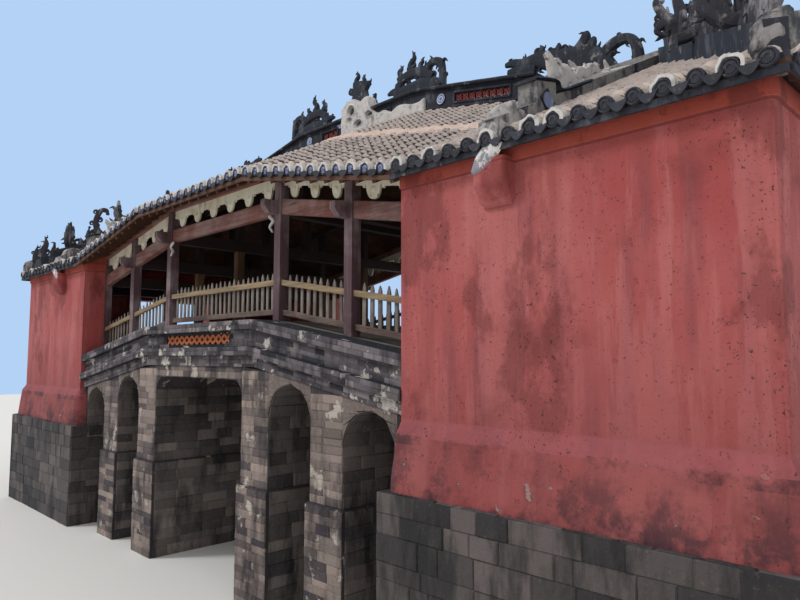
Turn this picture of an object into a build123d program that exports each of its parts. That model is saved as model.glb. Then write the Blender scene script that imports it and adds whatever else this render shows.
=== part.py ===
from build123d import *
import math
import os

# Covered bridge: five masonry spans carry a cambered deck with an open timber house on it.
# A walled, plastered pavilion with a hipped end stands over each abutment.
# X runs along the bridge, Y across it, Z up. The origin is on the bed of the canal,
# below the middle of the bridge. All sizes are in millimetres.

# Levels
path_level = 1900
deck_top = 4040
deck_depth = 690
deck_fall = 0.165
eave_level = 6050
roof_fall = 0.187

# Plan
flat_half = 1790
outer_post_x = 3440
span_half = 4890
half_width = 3200
pavilion_end = 8700
eave_overhang = 600

# Masonry below the deck
pier_width = 700
outer_pier_width = 650
masonry_face = half_width + 330
pier_base_height = 1650
pier_base_step = 45
arch_rise_gap = 75
mouth_height = 3170
haunch_radius = 300
abutment_step = 170
footing_height = path_level + 150
footing_step = 230

# Edge courses along the deck: how far each band stands out, and its height
top_band = (440, 140)
panel_band = (340, 250)
ledge_band = (460, 130)
face_band = (360, 170)
lattice_half = 1050
lattice_height = 150
lattice_pitch = 175
lattice_bar = 32
lattice_depth = 60

# Timber
post_size = 160
inner_row_y = 1700
last_post_x = 7000
beam_height = 240
beam_thickness = 120
beam_level = 5650
tie_height = 220
plate_height = 110
purlin_size = 140
nose_length = 270
nose_width = 110
nose_height = 200
valance_thickness = 30
valance_depth = 130
pendant_radius = 85
pendant_pitch = 560
scallop_radius = 60
pendant_sides = 6
rail_height = 85
rail_thickness = 50
rail_rise = 90
top_rail_rise = 620
picket_width = 48
picket_thickness = 24
picket_pitch = 145
picket_tip = 60
picket_above = 110

# Plastered walls
wall_thickness = 440
plinth_top = 2800
plinth_shoulder = 130
plinth_step = 70
plinth_batter = 60
cornice_height = 160
cornice_step = 25
doorway_half = 1200
doorway_head = 5080
corbel_width = 400
corbel_height = 420
corbel_step = 190

# Roof
slope_thickness = 100
ridge_rise = 1900
ridge_end = 6400
ridge_width = 300
ridge_height = 500
ridge_cap = 70
ridge_cap_step = 50
high_ridge_end = 4400
low_ridge_height = 260
window_height = 150
centre_window_x = 800
centre_window_width = 500
side_window_x = 3300
side_window_width = 1180
tile_row_pitch = 250
tile_row_width = 150
tile_row_height = 62
tile_row_clearance = 30
verge_width = 240
verge_height = 220
verge_set_back = 30
# The next two: nearest and farthest distance from the centre line, and height above the slope
verge_box = (2760, 3120, 450)
verge_foot = (3300, 3620, 190)
verge_box_rise = 80
hip_width = 260
hip_height = 260
crest_thickness = 140
crest_depth = 1500

os.makedirs("parts", exist_ok=True)

# Values that follow from the sizes above
half_ridge = ridge_width / 2
eave_y = half_width + eave_overhang
pitch = ridge_rise / eave_y
wall_face = half_width + wall_thickness
eave_x = pavilion_end + eave_overhang - wall_thickness
deck_under = deck_top - deck_depth
pavilion_eave = eave_level - roof_fall * (span_half - flat_half)
mouth_half = flat_half - pier_width / 2
verge_x = ridge_end - verge_width / 2 - verge_set_back


def deck_drop(x):
    """How far the deck lies below its middle at a distance x along the bridge."""
    return deck_fall * max(0, abs(x) - flat_half)


def roof_drop(x):
    """How far the roof lies below its middle at a distance x along the bridge."""
    return roof_fall * max(0, min(abs(x), span_half) - flat_half)


def save(piece, name):
    """Label a finished piece and write it."""
    piece.label = name
    export_step(piece, f"parts/{name}.step")


def run(x_start, x_end):
    """The places between two ends where a line that follows the deck has to bend."""
    bends = [x for x in (-flat_half, flat_half) if x_start < x < x_end]
    return [x_start, *bends, x_end]


def strip(x_start, x_end, y_inner, y_outer, top, bottom):
    """A band that follows the camber of the deck, between two distances from the centre line."""
    stations = run(x_start, x_end)
    upper = [(x, top - deck_drop(x)) for x in stations]
    lower = [(x, bottom - deck_drop(x)) for x in reversed(stations)]
    with BuildPart() as band:
        with BuildSketch(Plane.XZ.offset(-max(y_inner, y_outer))):
            Polygon(*upper, *lower, align=None)
        extrude(amount=abs(y_outer - y_inner))
    return band.part


def box(x, y, z):
    """A plain block between two corners, given as ranges."""
    with BuildPart() as block:
        with BuildSketch(Plane.XY.offset(z[0])):
            with Locations(((x[0] + x[1]) / 2, (y[0] + y[1]) / 2)):
                Rectangle(x[1] - x[0], y[1] - y[0])
        extrude(amount=z[1] - z[0])
    return block.part


# Piers: walls of coursed stone across the whole width, on a stepped base
def pier(centre, width):
    """One pier, with a sloped top that meets the deck."""
    low, high = centre - width / 2, centre + width / 2
    with BuildPart() as shaft:
        with BuildSketch(Plane.XZ.offset(-masonry_face)):
            Polygon((low, 0), (high, 0), (high, deck_under - deck_drop(high)),
                    (low, deck_under - deck_drop(low)), align=None)
        extrude(amount=2 * masonry_face)
        with BuildSketch(Plane.XY):
            with Locations((centre, 0)):
                Rectangle(width + 2 * pier_base_step, 2 * (masonry_face + pier_base_step))
        extrude(amount=pier_base_height)
        step_edges = shaft.edges().filter_by(Axis.Y).group_by(Axis.Z)
        base_rim = [edge for group in step_edges for edge in group
                    if abs(edge.center().Z - pier_base_height) < 1
                    and abs(abs(edge.center().X - centre) - width / 2 - pier_base_step) < 1]
        chamfer(base_rim, length=pier_base_step / 2)
    return shaft.part


for side, sign in (("east", 1), ("west", -1)):
    with BuildPart() as piers:
        add(pier(sign * flat_half, pier_width))
        add(pier(sign * outer_post_x, outer_pier_width))
    save(piers.part, f"piers_{side}")


# Arches: a barrel between two piers under a top that follows the deck
def arch(low, high):
    """One arched span: its crown stays a named gap below the deck's underside."""
    radius = (high - low) / 2
    centre = (high + low) / 2
    crown = deck_under - deck_drop(centre) - arch_rise_gap
    spring = crown - radius
    with BuildPart() as barrel:
        with BuildSketch(Plane.XZ.offset(-masonry_face)):
            Polygon((low, spring), (high, spring), (high, deck_under - deck_drop(high)),
                    (low, deck_under - deck_drop(low)), align=None)
            with Locations((centre, spring)):
                Circle(radius, mode=Mode.SUBTRACT)
        extrude(amount=2 * masonry_face)
    return barrel.part


inner_gap = (flat_half + pier_width / 2, outer_post_x - outer_pier_width / 2)
outer_gap = (outer_post_x + outer_pier_width / 2, span_half - abutment_step)
for name, gap in (("inner", inner_gap), ("outer", outer_gap)):
    save(arch(*gap), f"arch_east_{name}")
    save(arch(-gap[1], -gap[0]), f"arch_west_{name}")

# Middle span: a flat head with rounded haunches
with BuildPart() as centre_span:
    with BuildSketch(Plane.XZ.offset(-masonry_face)):
        with BuildLine():
            Polyline((-mouth_half, deck_under), (-mouth_half, mouth_height - haunch_radius))
            RadiusArc((-mouth_half, mouth_height - haunch_radius),
                      (-mouth_half + haunch_radius, mouth_height), haunch_radius)
            Line((-mouth_half + haunch_radius, mouth_height), (mouth_half - haunch_radius, mouth_height))
            RadiusArc((mouth_half - haunch_radius, mouth_height),
                      (mouth_half, mouth_height - haunch_radius), haunch_radius)
            Polyline((mouth_half, mouth_height - haunch_radius), (mouth_half, deck_under),
                     (-mouth_half, deck_under))
        make_face()
    extrude(amount=2 * masonry_face)
save(centre_span.part, "centre_span")

# Abutments: stone up to the deck's underside, with a footing course outside the walls
for side, sign in (("east", 1), ("west", -1)):
    inner = span_half - abutment_step
    under_jambs = pavilion_end - wall_thickness / 2
    cores = ((under_jambs, half_width), (span_half, masonry_face), (pavilion_end, doorway_half))
    with BuildPart() as abutment:
        for end, reach in cores:
            with BuildSketch(Plane.XZ.offset(-reach)):
                Polygon((sign * inner, 0), (sign * end, 0), (sign * end, deck_under - deck_drop(end)),
                        (sign * inner, deck_under - deck_drop(inner)), align=None)
            extrude(amount=2 * reach)
        with BuildSketch(Plane.XY):
            with Locations((sign * (inner + pavilion_end + footing_step) / 2, 0)):
                Rectangle(pavilion_end + footing_step - inner, 2 * (wall_face + footing_step))
        extrude(amount=footing_height)
    save(abutment.part, f"abutment_{side}")

# Deck: masonry fill with paving, level in the middle and falling to both ends
deck_parts = {
    "deck_centre": (-flat_half, flat_half),
    "deck_east": (flat_half, pavilion_end - wall_thickness),
    "deck_west": (-pavilion_end + wall_thickness, -flat_half),
}
for name, (low, high) in deck_parts.items():
    with BuildPart() as deck:
        add(strip(low, high, -half_width, half_width, deck_top, deck_under))
        if name == "deck_east":
            add(strip(high, pavilion_end, -doorway_half, doorway_half, deck_top, deck_under))
        if name == "deck_west":
            add(strip(-pavilion_end, low, -doorway_half, doorway_half, deck_top, deck_under))
    save(deck.part, name)

# Edge courses: four bands of masonry along each side of the deck
lattice_low = deck_top - top_band[1] - (panel_band[1] + lattice_height) / 2
for side, sign in (("front", -1), ("back", 1)):
    with BuildPart() as courses:
        level = deck_top
        for reach, height in (top_band, panel_band, ledge_band, face_band):
            add(strip(-span_half, span_half, sign * half_width, sign * (half_width + reach),
                      level, level - height))
            level -= height
        panel_face = half_width + panel_band[0]
        with BuildSketch(Plane.XY.offset(lattice_low)):
            with Locations((0, sign * (panel_face - lattice_depth / 2))):
                Rectangle(2 * lattice_half, lattice_depth)
        extrude(amount=lattice_height, mode=Mode.SUBTRACT)
    save(courses.part, f"edge_courses_{side}")

# Lattices: crossed bars let into the middle of each edge course
with BuildPart() as lattices:
    rise, reach = lattice_height / 2, lattice_pitch / 2
    count = round(2 * lattice_half / lattice_pitch)
    step = (2 * lattice_half - lattice_pitch) / (count - 1)
    for sign in (-1, 1):
        bar_y = sign * (half_width + panel_band[0] - lattice_depth / 2)
        for slot in range(count):
            x = -lattice_half + lattice_pitch / 2 + slot * step
            with BuildSketch(Plane.XZ.offset(-bar_y - lattice_bar / 2)):
                with Locations((x, lattice_low + rise)):
                    Polygon((-reach, rise - lattice_bar), (-reach, rise), (-reach + lattice_bar, rise),
                            (reach, -rise + lattice_bar), (reach, -rise), (reach - lattice_bar, -rise),
                            align=None)
                    Polygon((reach, rise - lattice_bar), (reach, rise), (reach - lattice_bar, rise),
                            (-reach, -rise + lattice_bar), (-reach, -rise), (-reach + lattice_bar, -rise),
                            align=None)
            extrude(amount=lattice_bar)
save(lattices.part, "edge_lattices")

# Posts: two outer rows on the edge of the deck and two inner rows beside the walkway
post_y = half_width - post_size / 2
end_post_x = span_half + post_size / 2
outer_stations = [-end_post_x, -outer_post_x, -flat_half, flat_half, outer_post_x, end_post_x]
inner_stations = [-last_post_x, *outer_stations, last_post_x]


def roof_under(y):
    """Level of the roof's underside over the middle of the bridge, at a distance from its centre line."""
    return eave_level + (eave_y - abs(y)) * pitch


def low_side(x):
    """The side of a post that lies lower down the slope."""
    return abs(x) + post_size / 2


def post(x, y, top):
    """One square post: it stands on the deck at its lower side and its top is cut square."""
    stations = run(x - post_size / 2, x + post_size / 2)
    foot = [(place, deck_top - deck_drop(place)) for place in stations]
    with BuildPart() as timber:
        with BuildSketch(Plane.XZ.offset(-y - post_size / 2)):
            Polygon(*foot, (stations[-1], top), (stations[0], top), align=None)
        extrude(amount=post_size)
    return timber.part


def nose(x, sign):
    """The end of a tie beam that passes through an outer post: its underside rises to the tip."""
    top = beam_level + nose_height - roof_drop(low_side(x))
    near, far = half_width - post_size, half_width + nose_length
    with BuildPart() as tip:
        with BuildSketch(Plane.YZ.offset(x - nose_width / 2)):
            Polygon((sign * near, top), (sign * far, top), (sign * far, top - nose_height / 2),
                    (sign * (far - nose_length / 3), top - nose_height), (sign * near, top - nose_height),
                    align=None)
        extrude(amount=nose_width)
    return tip.part


plate_top = roof_under(half_width)
plate_under = plate_top - plate_height
with BuildPart() as outer_posts:
    for x in outer_stations:
        for sign in (-1, 1):
            add(post(x, sign * post_y, plate_under - roof_drop(low_side(x))))
            if abs(x) < span_half:
                add(nose(x, sign))
save(outer_posts.part, "outer_posts")

with BuildPart() as inner_posts:
    for x in inner_stations:
        for sign in (-1, 1):
            add(post(x, sign * inner_row_y, beam_level - roof_drop(low_side(x))))
save(inner_posts.part, "inner_posts")


def bays():
    """The clear bays between the outer posts, from west to east."""
    half = post_size / 2
    return [(low + half, high - half) for low, high in zip(outer_stations, outer_stations[1:])]


def rail_outline(low, high, top, height, drop):
    """The corners of a bar between two posts that follows a fall, as seen from the side."""
    return ((low, top - drop(low)), (high, top - drop(high)),
            (high, top - height - drop(high)), (low, top - height - drop(low)))


# Eaves beams between the outer posts, following the fall of the roof
with BuildPart() as eave_beams:
    for low, high in bays():
        for sign in (-1, 1):
            with BuildSketch(Plane.XZ.offset(-sign * post_y - beam_thickness / 2)):
                Polygon(*rail_outline(low, high, beam_level + beam_height, beam_height, roof_drop),
                        align=None)
            extrude(amount=beam_thickness)
save(eave_beams.part, "eave_beams")

# Wall plates on top of the outer posts, under the roof
with BuildPart() as wall_plates:
    for sign in (-1, 1):
        stations = [-end_post_x - post_size / 2, -span_half, -flat_half, flat_half, span_half,
                    end_post_x + post_size / 2]
        upper = [(x, plate_top - roof_drop(x)) for x in stations]
        lower = [(x, plate_under - roof_drop(x)) for x in reversed(stations)]
        with BuildSketch(Plane.XZ.offset(-sign * post_y - post_size / 2)):
            Polygon(*upper, *lower, align=None)
        extrude(amount=post_size)
save(wall_plates.part, "wall_plates")

# Roof frames: a tie beam on the inner posts, with short struts up to the purlins
tie_top = beam_level + tie_height
purlin_y = (-inner_row_y, 0, inner_row_y)


def purlin_top(y):
    """The top of a purlin just under the roof's underside, over the middle of the bridge."""
    return roof_under(abs(y) + purlin_size / 2)


with BuildPart() as roof_frames:
    for x in inner_stations:
        drop = roof_drop(low_side(x))
        reach = post_y - post_size / 2 if abs(x) < last_post_x else half_width
        add(box((x - post_size / 2, x + post_size / 2), (-reach, reach),
                (beam_level - drop, tie_top - drop)))
        for y in purlin_y:
            if y == 0 and abs(x) > ridge_end:
                continue
            add(box((x - purlin_size / 2, x + purlin_size / 2), (y - purlin_size / 2, y + purlin_size / 2),
                    (tie_top - drop, purlin_top(y) - purlin_size - drop)))
save(roof_frames.part, "roof_frames")

with BuildPart() as purlins:
    for y in purlin_y:
        reach = ridge_end if y == 0 else last_post_x + post_size / 2
        stations = [-reach, -span_half, -flat_half, flat_half, span_half, reach]
        upper = [(x, purlin_top(y) - roof_drop(x)) for x in stations]
        lower = [(x, purlin_top(y) - purlin_size - roof_drop(x)) for x in reversed(stations)]
        with BuildSketch(Plane.XZ.offset(-y - purlin_size / 2)):
            Polygon(*upper, *lower, align=None)
        extrude(amount=purlin_size)
save(purlins.part, "purlins")

# Valances: scalloped boards hung under the plates between the posts
with BuildPart() as valances:
    for sign in (-1, 1):
        for low, high in bays():
            count = max(2, round((high - low) / pendant_pitch))
            spacing = (high - low) / count
            with BuildSketch(Plane.XZ.offset(-sign * post_y - valance_thickness / 2)):
                Polygon(*rail_outline(low, high, plate_under, valance_depth, roof_drop), align=None)
                for slot in range(count):
                    x = low + spacing * (slot + 0.5)
                    with Locations((x, plate_under - valance_depth - roof_drop(x))):
                        RegularPolygon(pendant_radius, pendant_sides)
                for slot in range(count + 1):
                    x = low + spacing * slot
                    with Locations((x, plate_under - valance_depth - roof_drop(x))):
                        RegularPolygon(scallop_radius, pendant_sides, mode=Mode.SUBTRACT)
            extrude(amount=valance_thickness)
save(valances.part, "valances")


# Railings: pointed pickets on a bottom rail, behind a top rail, between the posts
def railing(low, high, sign):
    """One fence panel between two posts, following the fall of the deck."""
    count = max(2, round((high - low) / picket_pitch) - 1)
    spacing = (high - low) / (count + 1)
    foot = deck_top + rail_rise + rail_height
    crest = deck_top + top_rail_rise
    with BuildPart() as panel:
        with BuildSketch(Plane.XZ.offset(-sign * post_y - rail_thickness / 2)):
            Polygon(*rail_outline(low, high, foot, rail_height, deck_drop), align=None)
        extrude(amount=rail_thickness)
        back = post_y - rail_thickness / 2
        front = back + picket_thickness
        with BuildSketch(Plane.XZ.offset(-max(sign * back, sign * front))):
            for slot in range(count):
                x = low + spacing * (slot + 1)
                half = picket_width / 2
                tip = crest + picket_above - deck_drop(x)
                Polygon((x - half, foot - rail_height / 2 - deck_drop(x)),
                        (x + half, foot - rail_height / 2 - deck_drop(x)),
                        (x + half, tip - picket_tip), (x, tip), (x - half, tip - picket_tip), align=None)
        extrude(amount=picket_thickness)
        with BuildSketch(Plane.XZ.offset(-max(sign * front, sign * (front + rail_thickness)))):
            Polygon(*rail_outline(low, high, crest, rail_height, deck_drop), align=None)
        extrude(amount=rail_thickness)
    return panel.part


for side, sign in (("front", -1), ("back", 1)):
    west_outer, west_inner, middle, east_inner, east_outer = bays()
    save(railing(*middle, sign), f"railing_{side}_centre")
    for end, panels in (("west", (west_outer, west_inner)), ("east", (east_inner, east_outer))):
        with BuildPart() as pair:
            for panel in panels:
                add(railing(*panel, sign))
        save(pair.part, f"railing_{side}_{end}")


# The space under a pavilion's roof: its ridge, its two eaves and its hipped end
def under_roof(sign, lift):
    """The whole volume below one pavilion's roof, lifted by a given amount."""
    eave = pavilion_eave + lift
    crown = eave + ridge_rise
    with BuildPart() as volume:
        with BuildSketch(Plane.YZ.offset(sign * span_half)):
            Polygon((-eave_y, 0), (eave_y, 0), (eave_y, eave), (0, crown), (-eave_y, eave), align=None)
        extrude(amount=sign * (eave_x - span_half))
        with BuildSketch(Plane.XZ.offset(-2 * eave_y)):
            Polygon((sign * ridge_end, crown), (sign * eave_x, eave), (sign * 2 * eave_x, eave),
                    (sign * 2 * eave_x, 2 * crown), (sign * ridge_end, 2 * crown), align=None)
        extrude(amount=4 * eave_y, mode=Mode.SUBTRACT)
    return volume.part


wall_crown = pavilion_eave + (eave_y - wall_face - cornice_step) * pitch


# Pavilion walls: plastered masonry with a battered plinth and a thin cornice
def side_wall(sign_x, sign_y):
    """One long wall of a pavilion, cut to the underside of the roof."""
    inner, outer = span_half, pavilion_end
    shoulder = plinth_top - plinth_shoulder
    flare = plinth_step + plinth_batter

    def course(level, reach):
        """The outline of the wall at a level, standing out by a given reach on three sides."""
        with BuildSketch(Plane.XY.offset(level)) as outline:
            x_mid = sign_x * (inner + outer) / 2
            y_mid = sign_y * (half_width + wall_face + reach) / 2
            with Locations((x_mid, y_mid)):
                Rectangle(outer - inner + 2 * reach, wall_thickness + reach)
        return outline.sketch

    with BuildPart() as wall:
        add(box(sorted((sign_x * inner, sign_x * outer)), sorted((sign_y * half_width, sign_y * wall_face)),
                (footing_height, pavilion_eave + ridge_rise)))
        loft(sections=[course(footing_height, flare), course(shoulder, plinth_step)], ruled=True)
        loft(sections=[course(shoulder, plinth_step), course(plinth_top, 0)], ruled=True)
        add(box(sorted((sign_x * inner, sign_x * outer)),
                sorted((sign_y * half_width, sign_y * (wall_face + cornice_step))),
                (wall_crown - cornice_height, wall_crown)))
        add(box(sorted((sign_x * (inner - 2 * flare), sign_x * inner)),
                sorted((0, sign_y * masonry_face)), (0, deck_top)), mode=Mode.SUBTRACT)
        add(under_roof(sign_x, 0), mode=Mode.INTERSECT)
    return wall.part


for side, sign_x in (("east", 1), ("west", -1)):
    with BuildPart() as walls:
        for sign_y in (-1, 1):
            add(side_wall(sign_x, sign_y))
    save(walls.part, f"side_walls_{side}")


# End walls: a jamb on each side of the doorway, and a head over it up to the roof
inside = pavilion_end - wall_thickness
middle = pavilion_end - wall_thickness / 2
plinth_foot = pavilion_end + plinth_step + plinth_batter
with BuildPart() as jambs:
    for sign_x in (-1, 1):
        for sign_y in (-1, 1):
            with BuildSketch(Plane.XZ.offset(-max(sign_y * doorway_half, sign_y * half_width))):
                Polygon((sign_x * inside, deck_under - deck_drop(inside)),
                        (sign_x * middle, deck_under - deck_drop(middle)),
                        (sign_x * middle, footing_height),
                        (sign_x * plinth_foot, footing_height),
                        (sign_x * (pavilion_end + plinth_step), plinth_top - plinth_shoulder),
                        (sign_x * pavilion_end, plinth_top),
                        (sign_x * pavilion_end, doorway_head),
                        (sign_x * inside, doorway_head), align=None)
            extrude(amount=half_width - doorway_half)
save(jambs.part, "doorway_jambs")

with BuildPart() as heads:
    for sign_x in (-1, 1):
        with BuildPart(mode=Mode.PRIVATE) as head:
            add(box(sorted((sign_x * inside, sign_x * pavilion_end)), (-half_width, half_width),
                    (doorway_head, pavilion_eave + ridge_rise)))
            add(box(sorted((sign_x * inside, sign_x * (pavilion_end + cornice_step))),
                    (-half_width, half_width), (wall_crown - cornice_height, wall_crown)))
            add(under_roof(sign_x, 0), mode=Mode.INTERSECT)
        add(head.part)
save(heads.part, "doorway_heads")

# Corbels: plastered brackets under the foot of each verge ridge
with BuildPart() as corbels:
    for sign_x in (-1, 1):
        for sign_y in (-1, 1):
            top = wall_crown - cornice_height
            near, far = sign_y * wall_face, sign_y * (wall_face + corbel_step)
            with BuildSketch(Plane.YZ.offset(sign_x * verge_x - corbel_width / 2)):
                with BuildLine():
                    Polyline((near, top), (far, top), (far, top - corbel_height / 2))
                    Line((far, top - corbel_height / 2), (near, top - corbel_height))
                    Line((near, top - corbel_height), (near, top))
                make_face()
            extrude(amount=corbel_width)
save(corbels.part, "wall_corbels")


# Roof: slopes on the purlins, level in the middle and falling to the pavilions, with rows of tiles
ridge_seat = eave_level + slope_thickness + ridge_rise - half_ridge * pitch
hip_run = eave_x - ridge_end
hip_plan_length = math.hypot(hip_run, eave_y)
end_pitch = ridge_rise / hip_run


def roof_section(x):
    """The outline of the two slopes across the bridge at one place along it."""
    eave = eave_level - roof_drop(x)
    top = eave + slope_thickness
    seat = ridge_seat - roof_drop(x)
    with BuildSketch(Plane.YZ.offset(x)) as section:
        Polygon((-eave_y, eave), (0, eave + ridge_rise), (eave_y, eave), (eave_y, top),
                (half_ridge, seat), (-half_ridge, seat), (-eave_y, top), align=None)
    return section.sketch


def slope_level(x):
    """Level of the slopes' top at the long eaves, at a distance from the bridge's middle."""
    return eave_level + slope_thickness - roof_drop(x)


def row_places(low, high):
    """The middles of the tile rows between two ends, evenly spread."""
    count = round((high - low) / tile_row_pitch)
    return [low + (slot + 0.5) * (high - low) / count for slot in range(count)]


def row_outline(place, before, after):
    """The section of one row of cover tiles: a low ridge whose foot is let into the slope.

    The slope's level is given on both sides of the row.
    """
    half = tile_row_width / 2
    sink = slope_thickness / 2
    crown = (before + after) / 2 + tile_row_height
    return ((place - half, before - sink), (place - half, before), (place, crown), (place + half, after),
            (place + half, after - sink))


def side_rows(low, high, sign):
    """The rows of tiles on one long slope, from the eave up to the ridge."""
    half = tile_row_width / 2
    head = half_ridge + tile_row_clearance
    with BuildPart() as rows:
        with BuildSketch(Plane.XZ.offset(-sign * eave_y)):
            for x in row_places(low, high):
                if abs(abs(x) - verge_x) > verge_width / 2 + half:
                    Polygon(*row_outline(x, slope_level(x - half), slope_level(x + half)), align=None)
        extrude(amount=(eave_y - head) * math.hypot(1, pitch), dir=(0, -sign, pitch))
    return rows.part


def end_rows(sign):
    """The rows of tiles on a pavilion's hipped end, as if it went up to the middle unhindered."""
    level = slope_level(eave_x)
    with BuildPart() as rows:
        with BuildSketch(Plane.YZ.offset(sign * eave_x)):
            for y in row_places(-eave_y, eave_y):
                Polygon(*row_outline(y, level, level), align=None)
        extrude(amount=hip_run * math.hypot(1, end_pitch), dir=(-sign, 0, end_pitch))
    return rows.part


def trimmed(rows, *plan):
    """Rows of tiles, cut to an outline in plan."""
    with BuildPart() as kept:
        add(rows)
        with BuildSketch():
            Polygon(*plan, align=None)
        extrude(amount=2 * ridge_seat, mode=Mode.INTERSECT)
    return kept.part


for name, low, high in (("centre", -flat_half, flat_half), ("east", flat_half, span_half),
                        ("west", -span_half, -flat_half)):
    with BuildPart() as roof:
        loft(sections=[roof_section(low), roof_section(high)], ruled=True)
        for sign in (-1, 1):
            add(side_rows(low, high, sign))
    save(roof.part, f"roof_{name}")

for side, sign_x in (("east", 1), ("west", -1)):
    seat = ridge_seat - roof_drop(span_half)
    inner, outer, head = sign_x * span_half, sign_x * eave_x, half_ridge + tile_row_clearance
    hip_clear = (hip_width / 2 + tile_row_clearance) * hip_plan_length / eave_y
    near_head = sign_x * (ridge_end - hip_clear + head * hip_run / eave_y)
    end_head = sign_x * (ridge_end + hip_clear)
    end_reach = eave_y - hip_clear * eave_y / hip_run
    with BuildPart() as roof:
        add(under_roof(sign_x, slope_thickness))
        add(under_roof(sign_x, 0), mode=Mode.SUBTRACT)
        add(box(sorted((inner, outer)), (-half_ridge, half_ridge), (seat, seat + ridge_height)),
            mode=Mode.SUBTRACT)
        for sign in (-1, 1):
            add(trimmed(side_rows(*sorted((inner, outer)), sign), (inner, sign * head),
                        (near_head, sign * head), (outer - sign_x * hip_clear, sign * eave_y),
                        (inner, sign * eave_y)))
        add(trimmed(end_rows(sign_x), (end_head, 0), (outer, end_reach), (outer, -end_reach)))
    save(roof.part, f"pavilion_roof_{side}")


# Ridges: hollow-looking boxes of masonry with a cap, pierced by windows
def ridge_box(low, high, height, windows):
    """A ridge between two places, following the roof, with windows given by their centres."""
    stations = [x for x in (-span_half, -flat_half, flat_half, span_half) if low < x < high]
    stations = [low, *stations, high]
    bands = ((half_ridge, 0, height - ridge_cap), (half_ridge + ridge_cap_step, height - ridge_cap, height))
    with BuildPart() as ridge:
        for reach, bottom, top in bands:
            upper = [(x, ridge_seat + top - roof_drop(x)) for x in stations]
            lower = [(x, ridge_seat + bottom - roof_drop(x)) for x in reversed(stations)]
            with BuildSketch(Plane.XZ.offset(-reach)):
                Polygon(*upper, *lower, align=None)
            extrude(amount=2 * reach)
        for x, width in windows:
            middle = ridge_seat + (height - ridge_cap) * 0.6
            corners = [(x + side * width / 2, middle + rise * window_height / 2)
                       for side, rise in ((-1, -1), (1, -1), (1, 1), (-1, 1))]
            with BuildSketch(Plane.XZ.offset(-ridge_width)):
                Polygon(*[(place, level - roof_drop(place)) for place, level in corners], align=None)
            extrude(amount=2 * ridge_width, mode=Mode.SUBTRACT)
    return ridge.part


save(ridge_box(-flat_half, flat_half, ridge_height,
               ((-centre_window_x, centre_window_width), (centre_window_x, centre_window_width))),
     "ridge_centre")
save(ridge_box(flat_half, high_ridge_end, ridge_height, ((side_window_x, side_window_width),)),
     "ridge_east")
save(ridge_box(-high_ridge_end, -flat_half, ridge_height, ((-side_window_x, side_window_width),)),
     "ridge_west")
with BuildPart() as pavilion_ridges:
    add(ridge_box(high_ridge_end, ridge_end, low_ridge_height, ()))
    add(ridge_box(-ridge_end, -high_ridge_end, low_ridge_height, ()))
save(pavilion_ridges.part, "pavilion_ridges")

# Verge ridges: bands down both slopes of a pavilion, with a box near the eaves and a block at the foot
pavilion_top = pavilion_eave + slope_thickness


def slope_top(y):
    """Level of a pavilion's slope at a distance from the centre line."""
    return pavilion_top + (eave_y - y) * pitch


with BuildPart() as verges:
    for sign_x in (-1, 1):
        for sign_y in (-1, 1):
            head = half_ridge + ridge_cap_step
            outline = [(sign_y * y, slope_top(y) + rise)
                       for y, rise in ((head, 0), (eave_y, 0), (eave_y, verge_height), (head, verge_height))]
            with BuildSketch(Plane.YZ.offset(sign_x * verge_x - verge_width / 2)):
                Polygon(*outline, align=None)
                for near, far, rise in (verge_box, verge_foot):
                    top = slope_top(far) + rise
                    Polygon((sign_y * near, slope_top(near)), (sign_y * far, slope_top(far)),
                            (sign_y * far, top), (sign_y * near, top + verge_box_rise), align=None)
            extrude(amount=verge_width)
save(verges.part, "verge_ridges")


def hip_plane(sign_x, sign_y):
    """A plane across the head of a hip, facing down along it, and the length of the hip."""
    head = Vector(sign_x * ridge_end, 0, pavilion_top + ridge_rise)
    foot = Vector(sign_x * eave_x, sign_y * eave_y, pavilion_top)
    along = foot - head
    across = along.cross(Vector(0, 0, 1))
    return Plane(origin=head, x_dir=across, z_dir=along), along.length


# Hip ridges: from the end of the ridge down to the outer corners of the eaves
def hip_pair(sign_x):
    """The two hip ridges of one pavilion, joined where they meet at the end of its ridge."""
    with BuildPart() as hips:
        for sign_y in (-1, 1):
            plane, length = hip_plane(sign_x, sign_y)
            with BuildSketch(plane):
                Rectangle(hip_width, 2 * hip_height)
            extrude(amount=length)
        add(under_roof(sign_x, slope_thickness), mode=Mode.SUBTRACT)
        add(box(sorted((sign_x * ridge_end, sign_x * eave_x)), (-eave_y, eave_y),
                (pavilion_eave, pavilion_top + ridge_rise + 2 * hip_height)), mode=Mode.INTERSECT)
    return hips.part


with BuildPart() as hip_ridges:
    add(hip_pair(-1))
    add(hip_pair(1))
save(hip_ridges.part, "hip_ridges")


# Crests: carved silhouettes on the ridges, each made up of tapered strokes
def stroke(points):
    """The outline of one stroke: a line through its points, as wide on each side as each point says."""
    left, right = [], []
    for index, (x, z, reach) in enumerate(points):
        before = points[max(index - 1, 0)]
        after = points[min(index + 1, len(points) - 1)]
        along = Vector(after[0] - before[0], after[1] - before[1], 0).normalized()
        left.append((x - along.Y * reach, z + along.X * reach))
        if reach:
            right.append((x + along.Y * reach, z - along.X * reach))
    return left + right[::-1]


def crest(plane, base, strokes):
    """One crest on an upright plane, cut off where the ridge under it has its top, given as a line."""
    with BuildPart() as carving:
        with BuildSketch(plane):
            for points in strokes:
                Polygon(*stroke(points), align=None)
            (start, first), (end, last) = base[0], base[-1]
            Polygon(*base, (end, last - crest_depth), (start, first - crest_depth), align=None,
                    mode=Mode.SUBTRACT)
        extrude(amount=crest_thickness / 2, both=True)
    return carving.part


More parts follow.
